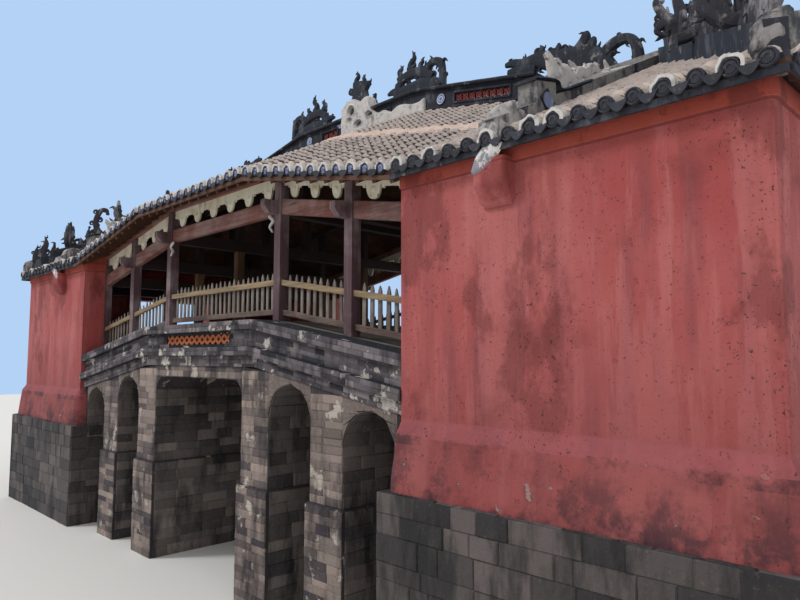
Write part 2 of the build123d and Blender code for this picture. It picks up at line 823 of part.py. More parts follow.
centre_strokes = (
    ((-450, 40, 100), (0, 120, 170), (450, 30, 100)),
    ((0, -60, 300), (0, 350, 270), (0, 600, 190), (0, 720, 90)),
    ((-50, 600, 110), (-120, 780, 55), (-55, 870, 40), (-100, 990, 0)),
    ((90, 600, 90), (130, 720, 50), (110, 780, 35), (160, 850, 0)),
    ((-100, 500, 90), (-270, 590, 75), (-340, 550, 35)),
    ((100, 500, 90), (240, 620, 65), (310, 580, 30)),
    ((-360, 60, 90), (-410, 240, 55), (-370, 320, 40), (-430, 420, 0)),
    ((360, 60, 90), (420, 220, 55), (480, 350, 20)),
)
dragon_strokes = (
    ((850, 200, 30), (1000, 210, 70), (1150, 150, 110), (1400, 120, 140), (1750, 120, 150),
     (2050, 60, 150), (2300, -40, 90)),
    ((1120, 150, 90), (1240, 370, 90), (1500, 430, 105), (1800, 370, 105), (2050, 200, 100)),
    ((1250, 400, 80), (1170, 560, 50), (1230, 620, 35), (1200, 700, 0)),
    ((1510, 450, 95), (1470, 620, 60), (1570, 730, 45), (1520, 885, 0)),
    ((1780, 400, 80), (1730, 530, 50), (1790, 590, 35), (1740, 650, 0)),
    ((1900, 300, 70), (1970, 450, 70), (2110, 490, 70), (2250, 410, 75), (2290, 200, 70), (2280, -60, 85)),
    ((1070, 220, 50), (1090, 310, 30), (1070, 370, 0)),
)
pavilion_strokes = (
    ((3710, 700, 40), (3860, 690, 70), (4060, 620, 90), (4350, 590, 130), (4750, 440, 200),
     (5150, 280, 290), (5450, 100, 230), (5650, -20, 120)),
    ((3760, 560, 50), (4000, 520, 110), (4300, 450, 150)),
    ((5000, 400, 150), (5150, 590, 100), (5200, 690, 75), (5215, 760, 30)),
    ((4380, 650, 90), (4420, 760, 45), (4380, 830, 0)),
    ((4680, 540, 90), (4720, 660, 60), (4730, 740, 20)),
    ((4880, 480, 80), (4925, 600, 35), (4900, 650, 0)),
    ((5230, 430, 100), (5310, 570, 65), (5340, 630, 25)),
    ((5380, 120, 120), (5510, 330, 100), (5700, 430, 90), (5890, 410, 70), (5990, 250, 80),
     (6020, -50, 100)),
)
scroll_strokes = (
    ((2450, 150, 90), (2600, 420, 70), (2680, 620, 50), (2740, 730, 20)),
    ((2560, 120, 110), (2420, 390, 135), (2270, 310, 120), (2080, 130, 110)),
    ((2250, 200, 90), (2110, 360, 75), (1950, 320, 80), (1800, 360, 70), (1620, 270, 50)),
    ((2420, 180, 100), (1900, 190, 100), (1400, 180, 80), (900, 150, 80), (500, 90, 100)),
)
corner_strokes = (
    ((260, 150, 150), (150, 440, 110), (60, 620, 90), (90, 810, 30)),
    ((200, 200, 110), (700, 350, 165), (1200, 380, 150), (1650, 260, 110)),
    ((1080, 330, 150), (1150, 550, 100), (1200, 700, 30)),
    ((1450, 300, 110), (1740, 480, 85), (1990, 500, 75), (2160, 540, 20)),
    ((2080, 150, 130), (2150, 500, 120), (2290, 790, 100), (2330, 1000, 40)),
    ((2480, 150, 130), (2740, 480, 85), (2820, 790, 75), (2710, 1030, 65), (2560, 990, 50), (2540, 860, 35)),
    ((2800, 180, 110), (3100, 240, 110), (3400, 250, 110), (3720, 280, 110)),
    ((2930, 260, 100), (3000, 500, 60), (2960, 720, 0)),
    ((3340, 260, 100), (3450, 550, 70), (3400, 700, 45), (3430, 880, 0)),
    ((3790, 150, 110), (3820, 400, 70), (3780, 600, 0)),
    ((3990, 150, 130), (4080, 450, 95), (4000, 650, 60), (4050, 880, 0)),
    ((4210, 150, 110), (4250, 450, 65), (4200, 700, 0)),
)

ridge_line = [(x, ridge_seat + height - roof_drop(x))
              for x, height in ((0, ridge_height), (flat_half, ridge_height), (high_ridge_end, ridge_height),
                                (high_ridge_end, low_ridge_height), (span_half, low_ridge_height),
                                (ridge_end, low_ridge_height))]


def ridge_crest(sign, level, strokes):
    """A crest on one half of the long ridge, whose strokes' heights are above a given level."""
    base = [(x, z - level) for x, z in ridge_line]
    return crest(Plane(origin=(0, 0, level), x_dir=(sign, 0, 0), z_dir=(0, -sign, 0)), base, strokes)


middle_crown, end_crown = ridge_line[0][1], ridge_line[-1][1]
with BuildPart() as centre_crest:
    add(crest(Plane(origin=(0, 0, middle_crown), x_dir=(1, 0, 0), z_dir=(0, -1, 0)),
              ((-flat_half, 0), (flat_half, 0)), centre_strokes))
save(centre_crest.part, "centre_crest")

with BuildPart() as dragon_crests:
    for sign in (-1, 1):
        add(ridge_crest(sign, middle_crown, dragon_strokes))
save(dragon_crests.part, "dragon_crests")

with BuildPart() as pavilion_crests:
    for sign in (-1, 1):
        add(ridge_crest(sign, end_crown, pavilion_strokes))
save(pavilion_crests.part, "pavilion_crests")


def on_slope(strokes, fall):
    """Strokes given as places and heights above a slope, lowered by that slope."""
    return [[(x, z - fall * x, reach) for x, z, reach in points] for points in strokes]


with BuildPart() as scrolls:
    for sign_x in (-1, 1):
        for sign_y in (-1, 1):
            plane = Plane(origin=(sign_x * verge_x, 0, slope_top(0)), x_dir=(0, sign_y, 0),
                          z_dir=(sign_y, 0, 0))
            base = [(y, verge_height - pitch * y) for y in (half_ridge, eave_y)]
            add(crest(plane, base, on_slope(scroll_strokes, pitch)))
save(scrolls.part, "verge_scrolls")

with BuildPart() as corner_crests:
    hip_fall = ridge_rise / hip_plan_length
    hip_top = hip_height * math.hypot(1, hip_fall)
    for sign_x in (-1, 1):
        for sign_y in (-1, 1):
            out = Vector(sign_x * hip_run, sign_y * eave_y, 0).normalized()
            plane = Plane(origin=(sign_x * ridge_end, 0, slope_top(0)), x_dir=out,
                          z_dir=out.cross(Vector(0, 0, 1)))
            base = [(place, hip_top - hip_fall * place) for place in (-hip_width, hip_plan_length)]
            add(crest(plane, base, on_slope(corner_strokes, hip_fall)))
save(corner_crests.part, "corner_crests")
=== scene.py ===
"""Looks of a covered bridge: clay tiles, lime plaster, coursed stone, weathered timber and carved crests."""
import logging
import math
from dataclasses import dataclass, field
from enum import Enum
from typing import Callable, Optional

import bmesh
import bpy
import numpy as np
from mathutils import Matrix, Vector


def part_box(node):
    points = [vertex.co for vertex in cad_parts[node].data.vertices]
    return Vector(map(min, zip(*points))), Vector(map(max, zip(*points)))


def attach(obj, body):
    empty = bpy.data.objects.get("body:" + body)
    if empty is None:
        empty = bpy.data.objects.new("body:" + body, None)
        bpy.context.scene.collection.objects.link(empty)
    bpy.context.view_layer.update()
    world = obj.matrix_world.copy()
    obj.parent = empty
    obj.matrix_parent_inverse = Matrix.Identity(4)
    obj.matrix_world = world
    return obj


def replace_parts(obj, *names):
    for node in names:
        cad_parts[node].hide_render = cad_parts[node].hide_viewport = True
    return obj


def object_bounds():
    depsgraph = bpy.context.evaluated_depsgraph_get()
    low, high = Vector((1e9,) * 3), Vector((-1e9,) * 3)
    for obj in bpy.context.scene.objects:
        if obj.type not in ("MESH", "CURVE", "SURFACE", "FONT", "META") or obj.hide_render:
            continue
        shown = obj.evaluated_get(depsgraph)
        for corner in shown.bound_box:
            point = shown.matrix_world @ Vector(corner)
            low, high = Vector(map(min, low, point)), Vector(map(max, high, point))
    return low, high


LOG = logging.getLogger("covered_bridge")
Array = np.ndarray
Colour = tuple[float, float, float, float]
Point = tuple[float, float, float]
Socket = bpy.types.NodeSocket
Work = Callable[[bmesh.types.BMesh], None]
Pairs = tuple[tuple[float, float], ...]

BODY = "root"
SEED = 20
SIDES = (-1, 1)
CORNERS = tuple((x, y) for x in SIDES for y in SIDES)
UP = np.array((0.0, 0.0, 1.0))
FULL_TURN = 2 * np.pi

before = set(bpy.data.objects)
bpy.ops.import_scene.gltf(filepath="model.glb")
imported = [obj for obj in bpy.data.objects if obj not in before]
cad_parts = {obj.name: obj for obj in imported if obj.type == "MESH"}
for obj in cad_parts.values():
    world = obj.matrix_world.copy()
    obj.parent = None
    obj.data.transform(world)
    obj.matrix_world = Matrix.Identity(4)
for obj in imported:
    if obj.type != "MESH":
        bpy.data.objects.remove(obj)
CAD_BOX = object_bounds()


def hex_colour(text: str) -> Colour:
    """Turn an sRGB hex value into the linear colour that a shader reads.

    Args:
        text: Six hex digits.

    Returns:
        Red, green, blue and an alpha of one.
    """
    values = [int(text[i:i + 2], 16) / 255 for i in (0, 2, 4)]
    linear = [v / 12.92 if v <= 0.04045 else ((v + 0.055) / 1.055) ** 2.4 for v in values]
    return (*linear, 1.0)


@dataclass(frozen=True)
class BridgeLines:
    """The main lines of the bridge in metres. What the frame holds is read from it."""

    flat_half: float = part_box("deck_centre")[1].x
    span_half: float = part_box("roof_east")[1].x
    half_width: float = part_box("deck_centre")[1].y
    deck_top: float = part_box("deck_centre")[1].z
    deck_under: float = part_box("deck_centre")[0].z
    eave_y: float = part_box("roof_centre")[1].y
    eave_under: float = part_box("roof_centre")[0].z
    eave_x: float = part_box("pavilion_roof_east")[1].x
    ridge_seat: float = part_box("ridge_centre")[0].z
    ridge_top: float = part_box("ridge_centre")[1].z
    masonry_face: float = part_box("centre_span")[1].y
    abutment_face: float = abs(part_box("abutment_east")[0].x)
    end_crown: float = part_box("pavilion_ridges")[0].z + 0.26
    deck_fall: float = 0.165
    roof_fall: float = 0.187
    slope_thickness: float = 0.1
    ridge_end: float = 6.4
    ridge_reach: float = 4.4
    half_ridge: float = 0.15
    pitch: float = 0.5
    tile_pitch: float = 0.25
    pavilion_end: float = 8.7
    wall_face: float = 3.64
    footing_top: float = 2.05
    plinth_top: float = 2.8
    cornice_height: float = 0.16
    cornice_step: float = 0.025
    post_half: float = 0.08
    verge_x: float = 6.25
    verge_half: float = 0.12

    @property
    def wall_crown(self) -> float:
        """Level at which the outer face of a pavilion's wall meets the roof's underside."""
        overhang = self.eave_y - self.wall_face - self.cornice_step
        return self.pavilion_eave - self.slope_thickness + overhang * self.pitch

    @property
    def eave_top(self) -> float:
        """Level of the tiled surface at the eave, over the level middle."""
        return self.eave_under + self.slope_thickness

    @property
    def pavilion_eave(self) -> float:
        """Level of the tiled surface at the eave of a pavilion."""
        return self.eave_top - self.roof_fall * (self.span_half - self.flat_half)

    @property
    def slope_top(self) -> float:
        """Level at which a pavilion's slopes meet over its middle line."""
        return self.pavilion_eave + self.eave_y * self.pitch

    @property
    def stations(self) -> tuple[float, float, float, float]:
        """The ends of the three lengths of the cambered part, from west to east."""
        return -self.span_half, -self.flat_half, self.flat_half, self.span_half


LINES = BridgeLines()


def drop(x: Array, fall: float) -> Array:
    """How far a line with the bridge's camber lies below its middle: level, then falling evenly."""
    return fall * np.maximum(0, np.abs(x) - LINES.flat_half)


def roof_level(x: Array, y: Array) -> Array:
    """Level of the tiled surface: the eave's level, its fall along the bridge, and the pitch to the ridge."""
    fall = drop(np.minimum(np.abs(x), LINES.span_half), LINES.roof_fall)
    return LINES.eave_top - fall + (LINES.eave_y - np.abs(y)) * LINES.pitch


def ripple(points: Array, size: float, seed: int, waves: int = 7) -> Array:
    """A smooth uneven field from -1 to 1: a mean of cosine waves in seeded directions.

    Args:
        points: Places as (..., 3).
        size: About the length of one wave, in metres.
        seed: Sets the directions and phases.
        waves: How many waves are summed.

    Returns:
        One value for each place.
    """
    random = np.random.default_rng(seed)
    ways = random.normal(size=(waves, 3))
    ways /= np.linalg.norm(ways, axis=1, keepdims=True)
    lengths = size * random.uniform(0.6, 1.6, waves)
    phases = random.uniform(0, FULL_TURN, waves)
    turns = points @ (ways / lengths[:, None]).T * FULL_TURN + phases
    return np.cos(turns).sum(axis=-1) / math.sqrt(waves)


class Graph:
    """The node tree of a material or of the world, to which nodes are added one at a time."""

    def __init__(self, owner: bpy.types.ID) -> None:
        """Start on a new material's tree, with its surface shader, or on a world's."""
        self.owner = owner
        owner.use_nodes = True
        self.tree = owner.node_tree
        self.shader = self.tree.nodes.get("Principled BSDF")

    def add(self, kind: str, inputs: Optional[dict] = None, **settings: object) -> bpy.types.Node:
        """Add one node.

        Args:
            kind: The node's type, without its ShaderNode prefix.
            inputs: Values or output sockets for its sockets, by name or number.
            **settings: Properties of the node.

        Returns:
            The node.
        """
        made = self.tree.nodes.new("ShaderNode" + kind)
        for key, value in settings.items():
            setattr(made, key, value)
        for key, value in (inputs or {}).items():
            if isinstance(value, Socket):
                self.tree.links.new(value, made.inputs[key])
            else:
                made.inputs[key].default_value = value
        return made

    def place(self, scale: Point = (1, 1, 1)) -> Socket:
        """Object coordinates in metres, stretched along each axis by a scale."""
        coordinates = self.add("TexCoord").outputs["Object"]
        return self.add("Mapping", {"Vector": coordinates, "Scale": scale}).outputs[0]

    def patches(self, vector: Socket, scale: float, low: float, high: float, detail: float = 5.0,
                rough: float = 0.55) -> Socket:
        """Uneven patches: noise whose values between low and high rise from bare to covered.

        The scale counts patches to a metre, so that 26 gives spots of about 40 mm.
        """
        noise = self.add("TexNoise", {"Vector": vector, "Scale": scale, "Detail": detail, "Roughness": rough})
        return self.add("MapRange", {"Value": noise.outputs["Fac"], "From Min": low, "From Max": high},
                        interpolation_type="SMOOTHSTEP").outputs["Result"]

    def coats(self, base: str, coats: list[tuple]) -> Socket:
        """Lay coats over a base colour, the last on top: each a colour, a mask, and shares to multiply it."""
        laid = hex_colour(base)
        for colour, mask, *factors in coats:
            for factor in factors:
                mask = self.add("Math", {0: mask, 1: factor}, operation="MULTIPLY").outputs[0]
            laid = self.add("Mix", {0: mask, 6: laid, 7: hex_colour(colour)}, data_type="RGBA").outputs[2]
        return laid

    def finish(self, whole: Socket, colour: Socket, roughness: float,
               bumps: list[tuple[object, float]]) -> None:
        """Send colour, roughness and stacked bumps to the shader.

        Args:
            whole: Object coordinates.
            colour: Colour socket.
            roughness: Roughness of the whole surface.
            bumps: Heights with their depths in metres. A height is a mask, or a noise's scale and detail.
        """
        self.tree.links.new(colour, self.shader.inputs["Base Color"])
        self.shader.inputs["Roughness"].default_value = roughness
        below = {}
        for height, depth in bumps:
            if isinstance(height, tuple):
                noise = {"Vector": whole, "Scale": height[0], "Detail": height[1]}
                height = self.add("TexNoise", noise).outputs["Fac"]
            below = {"Normal": self.add("Bump", {"Height": height, "Distance": depth, **below}).outputs[0]}
        self.tree.links.new(below["Normal"], self.shader.inputs["Normal"])


@dataclass(frozen=True)
class Finish:
    """A finish of the bridge, known by the name of its material."""

    name: str

    def make(self) -> bpy.types.Material:
        """Build the material."""
        g = Graph(bpy.data.materials.new(self.name))
        self.paint(g, g.place())
        return g.owner

    def paint(self, g: Graph, whole: Socket) -> None:
        """Add the nodes of this finish to a graph, whose object coordinates are given."""
        raise NotImplementedError


@dataclass(frozen=True)
class LimewashedPlaster(Finish):
    """Lime plaster, trowelled by hand and limewashed red: chalky, streaked by rain, spotted with mould."""

    base: str = "A24846"
    deep: str = "6C2D2A"
    low_damp: str = "783A38"
    faded: str = "BE7370"
    rain: str = "864246"
    orange: str = "A84A38"
    # Painted highlight for the plinth's sloped shoulder.
    shoulder_highlight_colour: str = "9B5257"
    mould: str = "33222A"
    lime: str = "9C8F8A"
    foot_level: float = LINES.footing_top
    foot_reach: float = 0.8
    band_level: float = 5.378
    band_edge: float = 0.012
    shoulder_level: float = 2.74

    def paint(self, g: Graph, whole: Socket) -> None:
        """Rain streaks and blotches on the wash, mould low, a painted highlight on the plinth's sloped
        shoulder with painted shade and mould under it, orange on the cornice.
        """
        drips = g.place((2.6, 2.6, 0.3))
        height = g.add("SeparateXYZ", {"Vector": whole}).outputs["Z"]
        foot, band, below, low = (
            g.add("MapRange", {"Value": height, "From Min": bare, "From Max": full}).outputs["Result"]
            for bare, full in ((self.foot_level + self.foot_reach, self.foot_level),
                               (self.band_level - self.band_edge, self.band_level + 0.004),
                               (self.band_level - 0.5, self.band_level),
                               (self.shoulder_level + 1.2, self.shoulder_level - 0.2)))
        # Masks: a band over the plinth's sloped shoulder for its painted highlight, a band just below it for
        # painted shade, and a thin line at the foot of the cornice.
        painted_shoulder_highlight, shade_and_mould_under_shoulder, line = (
            g.add("Math", {0: height, 1: level, 2: reach}, operation="COMPARE").outputs[0]
            for level, reach in ((self.shoulder_level, 0.09), (self.shoulder_level - 0.12, 0.05),
                                 (self.band_level - self.band_edge, 0.009)))
        streaks = g.patches(drips, 1.7, 0.42, 0.75)
        pale_streaks = g.patches(drips, 2.9, 0.5, 0.8)
        old_coat = g.patches(drips, 0.8, 0.5, 0.56, 9.0, 0.66)
        blotches = g.patches(g.place((1.0, 1.0, 0.55)), 1.5, 0.55, 0.62, 9.0, 0.62)
        stain = g.patches(whole, 0.8, 0.52, 0.68, 6.0, 0.6)
        specks = g.patches(whole, 26.0, 0.62, 0.66, 3.0, 0.7)
        fine_specks = g.patches(whole, 44.0, 0.67, 0.71, 2.0)
        speck_zone = g.patches(g.place((1.0, 1.0, 0.6)), 1.5, 0.46, 0.58, 7.0, 0.6)
        scuffs = g.patches(whole, 7.0, 0.6, 0.7, 8.0, 0.68)
        flakes = g.patches(whole, 6.0, 0.645, 0.66, 9.0, 0.62)
        damp = g.patches(whole, 2.6, 0.45, 0.62, 9.0, 0.7)
        tone = g.patches(whole, 0.55, 0.3, 0.7, 3.0)
        colour = g.coats(self.base, [
            (self.faded, tone, 0.45),
            (self.rain, streaks, 0.8),
            (self.faded, pale_streaks, 0.5),
            (self.faded, old_coat, 0.36),
            (self.deep, blotches, 0.55),
            (self.deep, stain, 0.55),
            (self.low_damp, low, 0.5),
            (self.rain, scuffs, 0.45),
            (self.orange, below, streaks, 0.5),
            # Painted highlight on the shoulder, then painted shade mixed with mould patches under it.
            (self.shoulder_highlight_colour, painted_shoulder_highlight, 0.6),
            (self.mould, shade_and_mould_under_shoulder, damp, 0.6),
            (self.mould, specks, speck_zone, 0.9),
            (self.mould, fine_specks, 0.75),
            (self.mould, foot, damp, 0.85),
            (self.lime, foot, flakes, 0.8),
            (self.orange, band, 0.8),
            (self.deep, band, blotches, 0.6),
            (self.deep, line, 0.75),
        ])
        g.finish(whole, colour, 0.93, [((9.0, 4.0), 0.012), ((260.0, 2.0), 0.0015), (flakes, -0.006),
                                       (old_coat, 0.003)])


@dataclass(frozen=True)
class WeatheredStone(Finish):
    """Coursed stone and brick laid in lime: blocks of many tones, with soot, lichen and flaking render."""

    light: str
    dark: str
    soot_and_painted_shade: str = "1F1C1B"
    render: str = "B3AA9B"
    render_from: float = 0.62
    soot_from: float = 0.42
    moss: str = "4A4A34"

    def paint(self, g: Graph, whole: Socket) -> None:
        """Flecks, moss, scraps of render and soot, one over the other."""
        tone = g.add("Attribute", attribute_name="tone").outputs["Fac"]
        soot_and_painted_shade = g.patches(g.place((2.2, 2.2, 0.55)), 1.6, self.soot_from, self.soot_from + 0.22, 8.0, 0.65)
        render = g.patches(whole, 2.6, self.render_from, self.render_from + 0.035, 10.0, 0.62)
        colour = g.coats(self.dark, [
            (self.light, tone),
            (self.light, g.patches(whole, 22.0, 0.6, 0.7, 4.0), 0.35),
            (self.moss, g.patches(whole, 3.4, 0.6, 0.72, 6.0), 0.4),
            (self.render, render, 0.85),
            (self.soot_and_painted_shade, soot_and_painted_shade, 0.8),
        ])
        g.finish(whole, colour, 0.92, [((12.0, 5.0), 0.02), ((55.0, 5.0), 0.006), (render, 0.008)])


@dataclass(frozen=True)
class FiredClayTile(Finish):
    """Unglazed clay tiles, pressed and fired: pink, tan and brown, with lichen and lime splashes."""

    pink: str = "F8E8DF"
    brown: str = "3C2D2C"
    lichen: str = "2A2323"
    lime: str = "CFC6BC"

    def paint(self, g: Graph, whole: Socket) -> None:
        """Lichen in spots and patches, and broken lime where the mortar of the eave has run."""
        tone, whited = (g.add("Attribute", attribute_name=label).outputs["Fac"] for label in ("tone", "lime"))
        colour = g.coats(self.brown, [
            # The tone attribute holds random tile tones plus the painted shadow and highlight laid with the
            # tiles.
            (self.pink, tone),
            (self.lichen, g.patches(whole, 26.0, 0.6, 0.7, 4.0), 0.4),
            (self.lichen, g.patches(whole, 3.2, 0.53, 0.68, 9.0, 0.68), 0.32),
            (self.lime, whited, g.patches(whole, 14.0, 0.3, 0.6, 6.0)),
        ])
        g.finish(whole, colour, 0.88, [((120.0, 3.0), 0.003)])


@dataclass(frozen=True)
class CarvedLimeMortar(Finish):
    """Lime mortar modelled by hand, bleached or blackened by weather: matt, pitted, soot in the hollows."""

    pale: str
    dark: str
    dark_from: float
    bloom: str = "C9C2B6"

    def paint(self, g: Graph, whole: Socket) -> None:
        """Fine soiling, broad soot that runs down, and a thin pale bloom."""
        soot_and_painted_shade = g.patches(g.place((1.6, 1.6, 0.7)), 2.4, self.dark_from, self.dark_from + 0.16, 8.0, 0.65)
        colour = g.coats(self.pale, [
            (self.dark, g.patches(whole, 11.0, 0.5, 0.66, 7.0, 0.65), 0.45),
            (self.dark, soot_and_painted_shade, 0.93),
            (self.bloom, g.patches(whole, 6.5, 0.63, 0.7, 6.0), 0.3),
        ])
        g.finish(whole, colour, 0.9, [((16.0, 4.0), 0.012), ((90.0, 4.0), 0.004)])


class Grain(Enum):
    """The way the grain of a timber runs, as how much each axis is stretched."""

    ALONG = (2.0, 42.0, 42.0)
    ACROSS = (42.0, 2.0, 42.0)
    UPRIGHT = (42.0, 42.0, 2.0)


@dataclass(frozen=True)
class WeatheredTimber(Finish):
    """Sawn hardwood, oiled long ago and bleached by weather: open grain, splits and grey worn faces."""

    grain: Grain
    heart: str
    worn: str
    worn_share: float = 0.5
    gap: str = "1C1412"

    def paint(self, g: Graph, whole: Socket) -> None:
        """Worn patches over the heartwood, dark streaks, splits along the grain, and its light and dark."""
        fibres = g.place(self.grain.value)
        noise = {"Vector": fibres, "Scale": 1.0, "Detail": 6.0, "Roughness": 0.65}
        lines = g.add("TexNoise", noise).outputs["Fac"]
        splits = g.patches(fibres, 1.3, 0.66, 0.72, 3.0)
        bare = 1 - self.worn_share
        base = g.coats(self.heart, [
            (self.worn, g.add("Attribute", attribute_name="tone").outputs["Fac"], 0.45),
            (self.worn, g.patches(whole, 1.7, bare - 0.12, bare + 0.12, 7.0, 0.6), 0.7),
            (self.gap, g.patches(fibres, 0.55, 0.35, 0.7, 4.0), 0.35),
            (self.gap, splits, 0.8),
        ])
        shade = g.add("MapRange", {"Value": lines, "From Min": 0.3, "From Max": 0.7, "To Min": 0.72,
                                   "To Max": 1.16}).outputs[0]
        colour = g.add("Mix", {0: 1.0, 6: base, 7: shade}, data_type="RGBA", blend_type="MULTIPLY").outputs[2]
        g.finish(whole, colour, 0.78, [(lines, 0.003), (splits, -0.004)])


@dataclass(frozen=True)
class FlakingPaint(Finish):
    """Limewash paint brushed on boards, now flaking: cream where it holds, with bare wood and damp stains."""

    paint_colour: str = "F2ECD6"
    dirty: str = "C6BB9D"
    wood: str = "4A3627"
    bare_from: float = 0.62

    def paint(self, g: Graph, whole: Socket) -> None:
        """Dirt, drips from above, and flakes that have come off."""
        bare = g.patches(whole, 8.0, self.bare_from, self.bare_from + 0.04, 9.0, 0.62)
        colour = g.coats(self.paint_colour, [
            (self.dirty, g.patches(whole, 3.0, 0.42, 0.7, 6.0), 0.7),
            (self.wood, g.patches(g.place((9.0, 9.0, 1.2)), 1.0, 0.55, 0.75, 4.0), 0.35),
            (self.wood, bare, 0.7),
        ])
        g.finish(whole, colour, 0.75, [(bare, -0.003)])


@dataclass(frozen=True)
class PlainCeramic(Finish):
    """Fired clay or glazed porcelain: one body colour, clouded, with the gloss of its skin."""

    body: str
    cloud: str
    gloss_roughness: float
    dust: str = "6B6460"

    def paint(self, g: Graph, whole: Socket) -> None:
        """Clouds in the body and a little dust on it."""
        colour = g.coats(self.body, [
            (self.cloud, g.add("Attribute", attribute_name="tone").outputs["Fac"]),
            (self.cloud, g.patches(whole, 14.0, 0.4, 0.65), 0.4),
            (self.dust, g.patches(whole, 30.0, 0.55, 0.72, 5.0), 0.5),
        ])
        g.finish(whole, colour, self.gloss_roughness, [((80.0, 3.0), 0.0015)])


@dataclass(frozen=True)
class WornPaving(Finish):
    """Stone slabs worn by feet: smooth grey faces, dark joints filled with dust."""

    face: str = "857C70"
    joint: str = "3A352F"
    slab: float = 0.4
    gap: float = 0.008

    def paint(self, g: Graph, whole: Socket) -> None:
        """Worn patches on the slabs, and the joints between them."""
        slabs = g.add("TexBrick", {"Vector": whole, "Color1": (0, 0, 0, 1), "Color2": (1, 1, 1, 1),
                                   "Scale": 1.0, "Mortar Size": self.gap, "Brick Width": self.slab,
                                   "Row Height": self.slab})
        joints = slabs.outputs["Fac"]
        worn = g.patches(whole, 2.0, 0.4, 0.7)
        colour = g.coats(self.face, [(self.joint, worn, 0.4), (self.joint, joints)])
        g.finish(whole, colour, 0.7, [(joints, -0.006)])


PLASTER = LimewashedPlaster("limewashed_plaster")
PIER_STONE = WeatheredStone("tan_pier_stone", "AA998E", "40373A", "231E20", "BDB3A8", 0.58, 0.45)
BARREL_STONE = WeatheredStone("dark_barrel_stone", "857A74", "2E2A2C", "151316", render_from=0.78,
                              soot_from=0.46)
EDGE_STONE = WeatheredStone("blackened_edge_courses", "8C8286", "1C1A1F", "121014", "CFC7C0", 0.565, 0.425)
FOOTING_STONE = WeatheredStone("footing_stone", "6C625F", "2B2728", render_from=0.7)
TILE = FiredClayTile("fired_clay_tile")
PALE_MORTAR = CarvedLimeMortar("bleached_lime_mortar", "CBC7C4", "4A4749", 0.58)
DARK_MORTAR = CarvedLimeMortar("blackened_lime_mortar", "54565F", "1F2027", 0.34)
GREY_MORTAR = CarvedLimeMortar("weathered_lime_mortar", "8E8A88", "2B2B30", 0.46)
HIP_MORTAR = CarvedLimeMortar("sooty_hip_mortar", "9A9598", "222028", 0.345)
ROUGH_STONE = CarvedLimeMortar("rough_foot_stone", "AFABA9", "4C484A", 0.5)
WHITE_SCROLL = CarvedLimeMortar("white_scroll_lime", "CFCAC6", "7A7472", 0.66)
PINK_MORTAR = CarvedLimeMortar("pink_roof_mortar", "D2B9AC", "7A655E", 0.62)
POST_WOOD = WeatheredTimber("weathered_post_wood", Grain.UPRIGHT, "62474B", "A18C8E", 0.45)
BEAM_WOOD = WeatheredTimber("faded_beam_wood", Grain.ALONG, "8A554B", "A88E88", 0.45)
TIE_WOOD = WeatheredTimber("dark_tie_wood", Grain.ACROSS, "33211C", "5A4740", 0.3)
INNER_WOOD = WeatheredTimber("dark_inner_wood", Grain.ALONG, "33211C", "5A4740", 0.3)
INNER_POST_WOOD = WeatheredTimber("tan_inner_post", Grain.UPRIGHT, "6B4A30", "8F6E48", 0.4)
PICKET_WOOD = WeatheredTimber("grey_picket_wood", Grain.UPRIGHT, "6B5E54", "A0948A", 0.5)
RAIL_WOOD = WeatheredTimber("tan_rail_wood", Grain.ALONG, "7C654A", "A58D6C", 0.6)
FOOT_RAIL_WOOD = WeatheredTimber("brown_foot_rail", Grain.ALONG, "5E4840", "8A7468", 0.5)
BOARD_WOOD = WeatheredTimber("brown_roof_board", Grain.ALONG, "4E2E1E", "8A5E3C", 0.4)
CREAM_PAINT = FlakingPaint("flaking_cream_paint")
FLAKED_LIME = FlakingPaint("flaking_white_lime", "DAD6D4", "B9827C", "4A5066", 0.5)
TERRACOTTA = PlainCeramic("orange_terracotta", "B5653B", "8A4526", 0.85)
RED_CLAY = PlainCeramic("red_clay_grille", "8E3B34", "5A2624", 0.85)
PORCELAIN = PlainCeramic("blue_white_porcelain", "C9CEDA", "3F5590", 0.35)
BLUE_DISC = PlainCeramic("slate_blue_roll_end", "8288B0", "4B5078", 0.6)
BLACK_TILE = PlainCeramic("blackened_eave_tile", "3A3A42", "202026", 0.85)
PAVING = WornPaving("worn_paving")


class Painter:
    """Keeps one built material for each finish."""

    made: dict[str, bpy.types.Material] = {}

    @classmethod
    def of(cls, finish: Finish) -> bpy.types.Material:
        """The material of a finish, built when it is first asked for."""
        if finish.name not in cls.made:
            cls.made[finish.name] = finish.make()
        return cls.made[finish.name]

    @classmethod
    def dress(cls, finish: Finish, *nodes: str) -> None:
        """Give CAD nodes the material of a finish."""
        for name in nodes:
            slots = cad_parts[name].data.materials
            slots.clear()
            slots.append(cls.of(finish))


def settle(name: str, mesh: bpy.types.Mesh, finish: Finish) -> bpy.types.Object:
    """Put a mesh into the scene: dressed and riding on the bridge."""
    mesh.materials.clear()
    mesh.materials.append(Painter.of(finish))
    piece = bpy.data.objects.new(name, mesh)
    bpy.context.scene.collection.objects.link(piece)
    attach(piece, BODY)
    LOG.info("%s: %d faces", name, len(mesh.polygons))
    return piece


def worked(mesh: bpy.types.Mesh, work_on: Optional[Work] = None) -> None:
    """Merge a mesh's doubled corners and then work on it."""
    work = bmesh.new()
    work.from_mesh(mesh)
    bmesh.ops.remove_doubles(work, verts=work.verts, dist=1e-5)
    if work_on is not None:
        work_on(work)
    work.to_mesh(mesh)
    work.free()


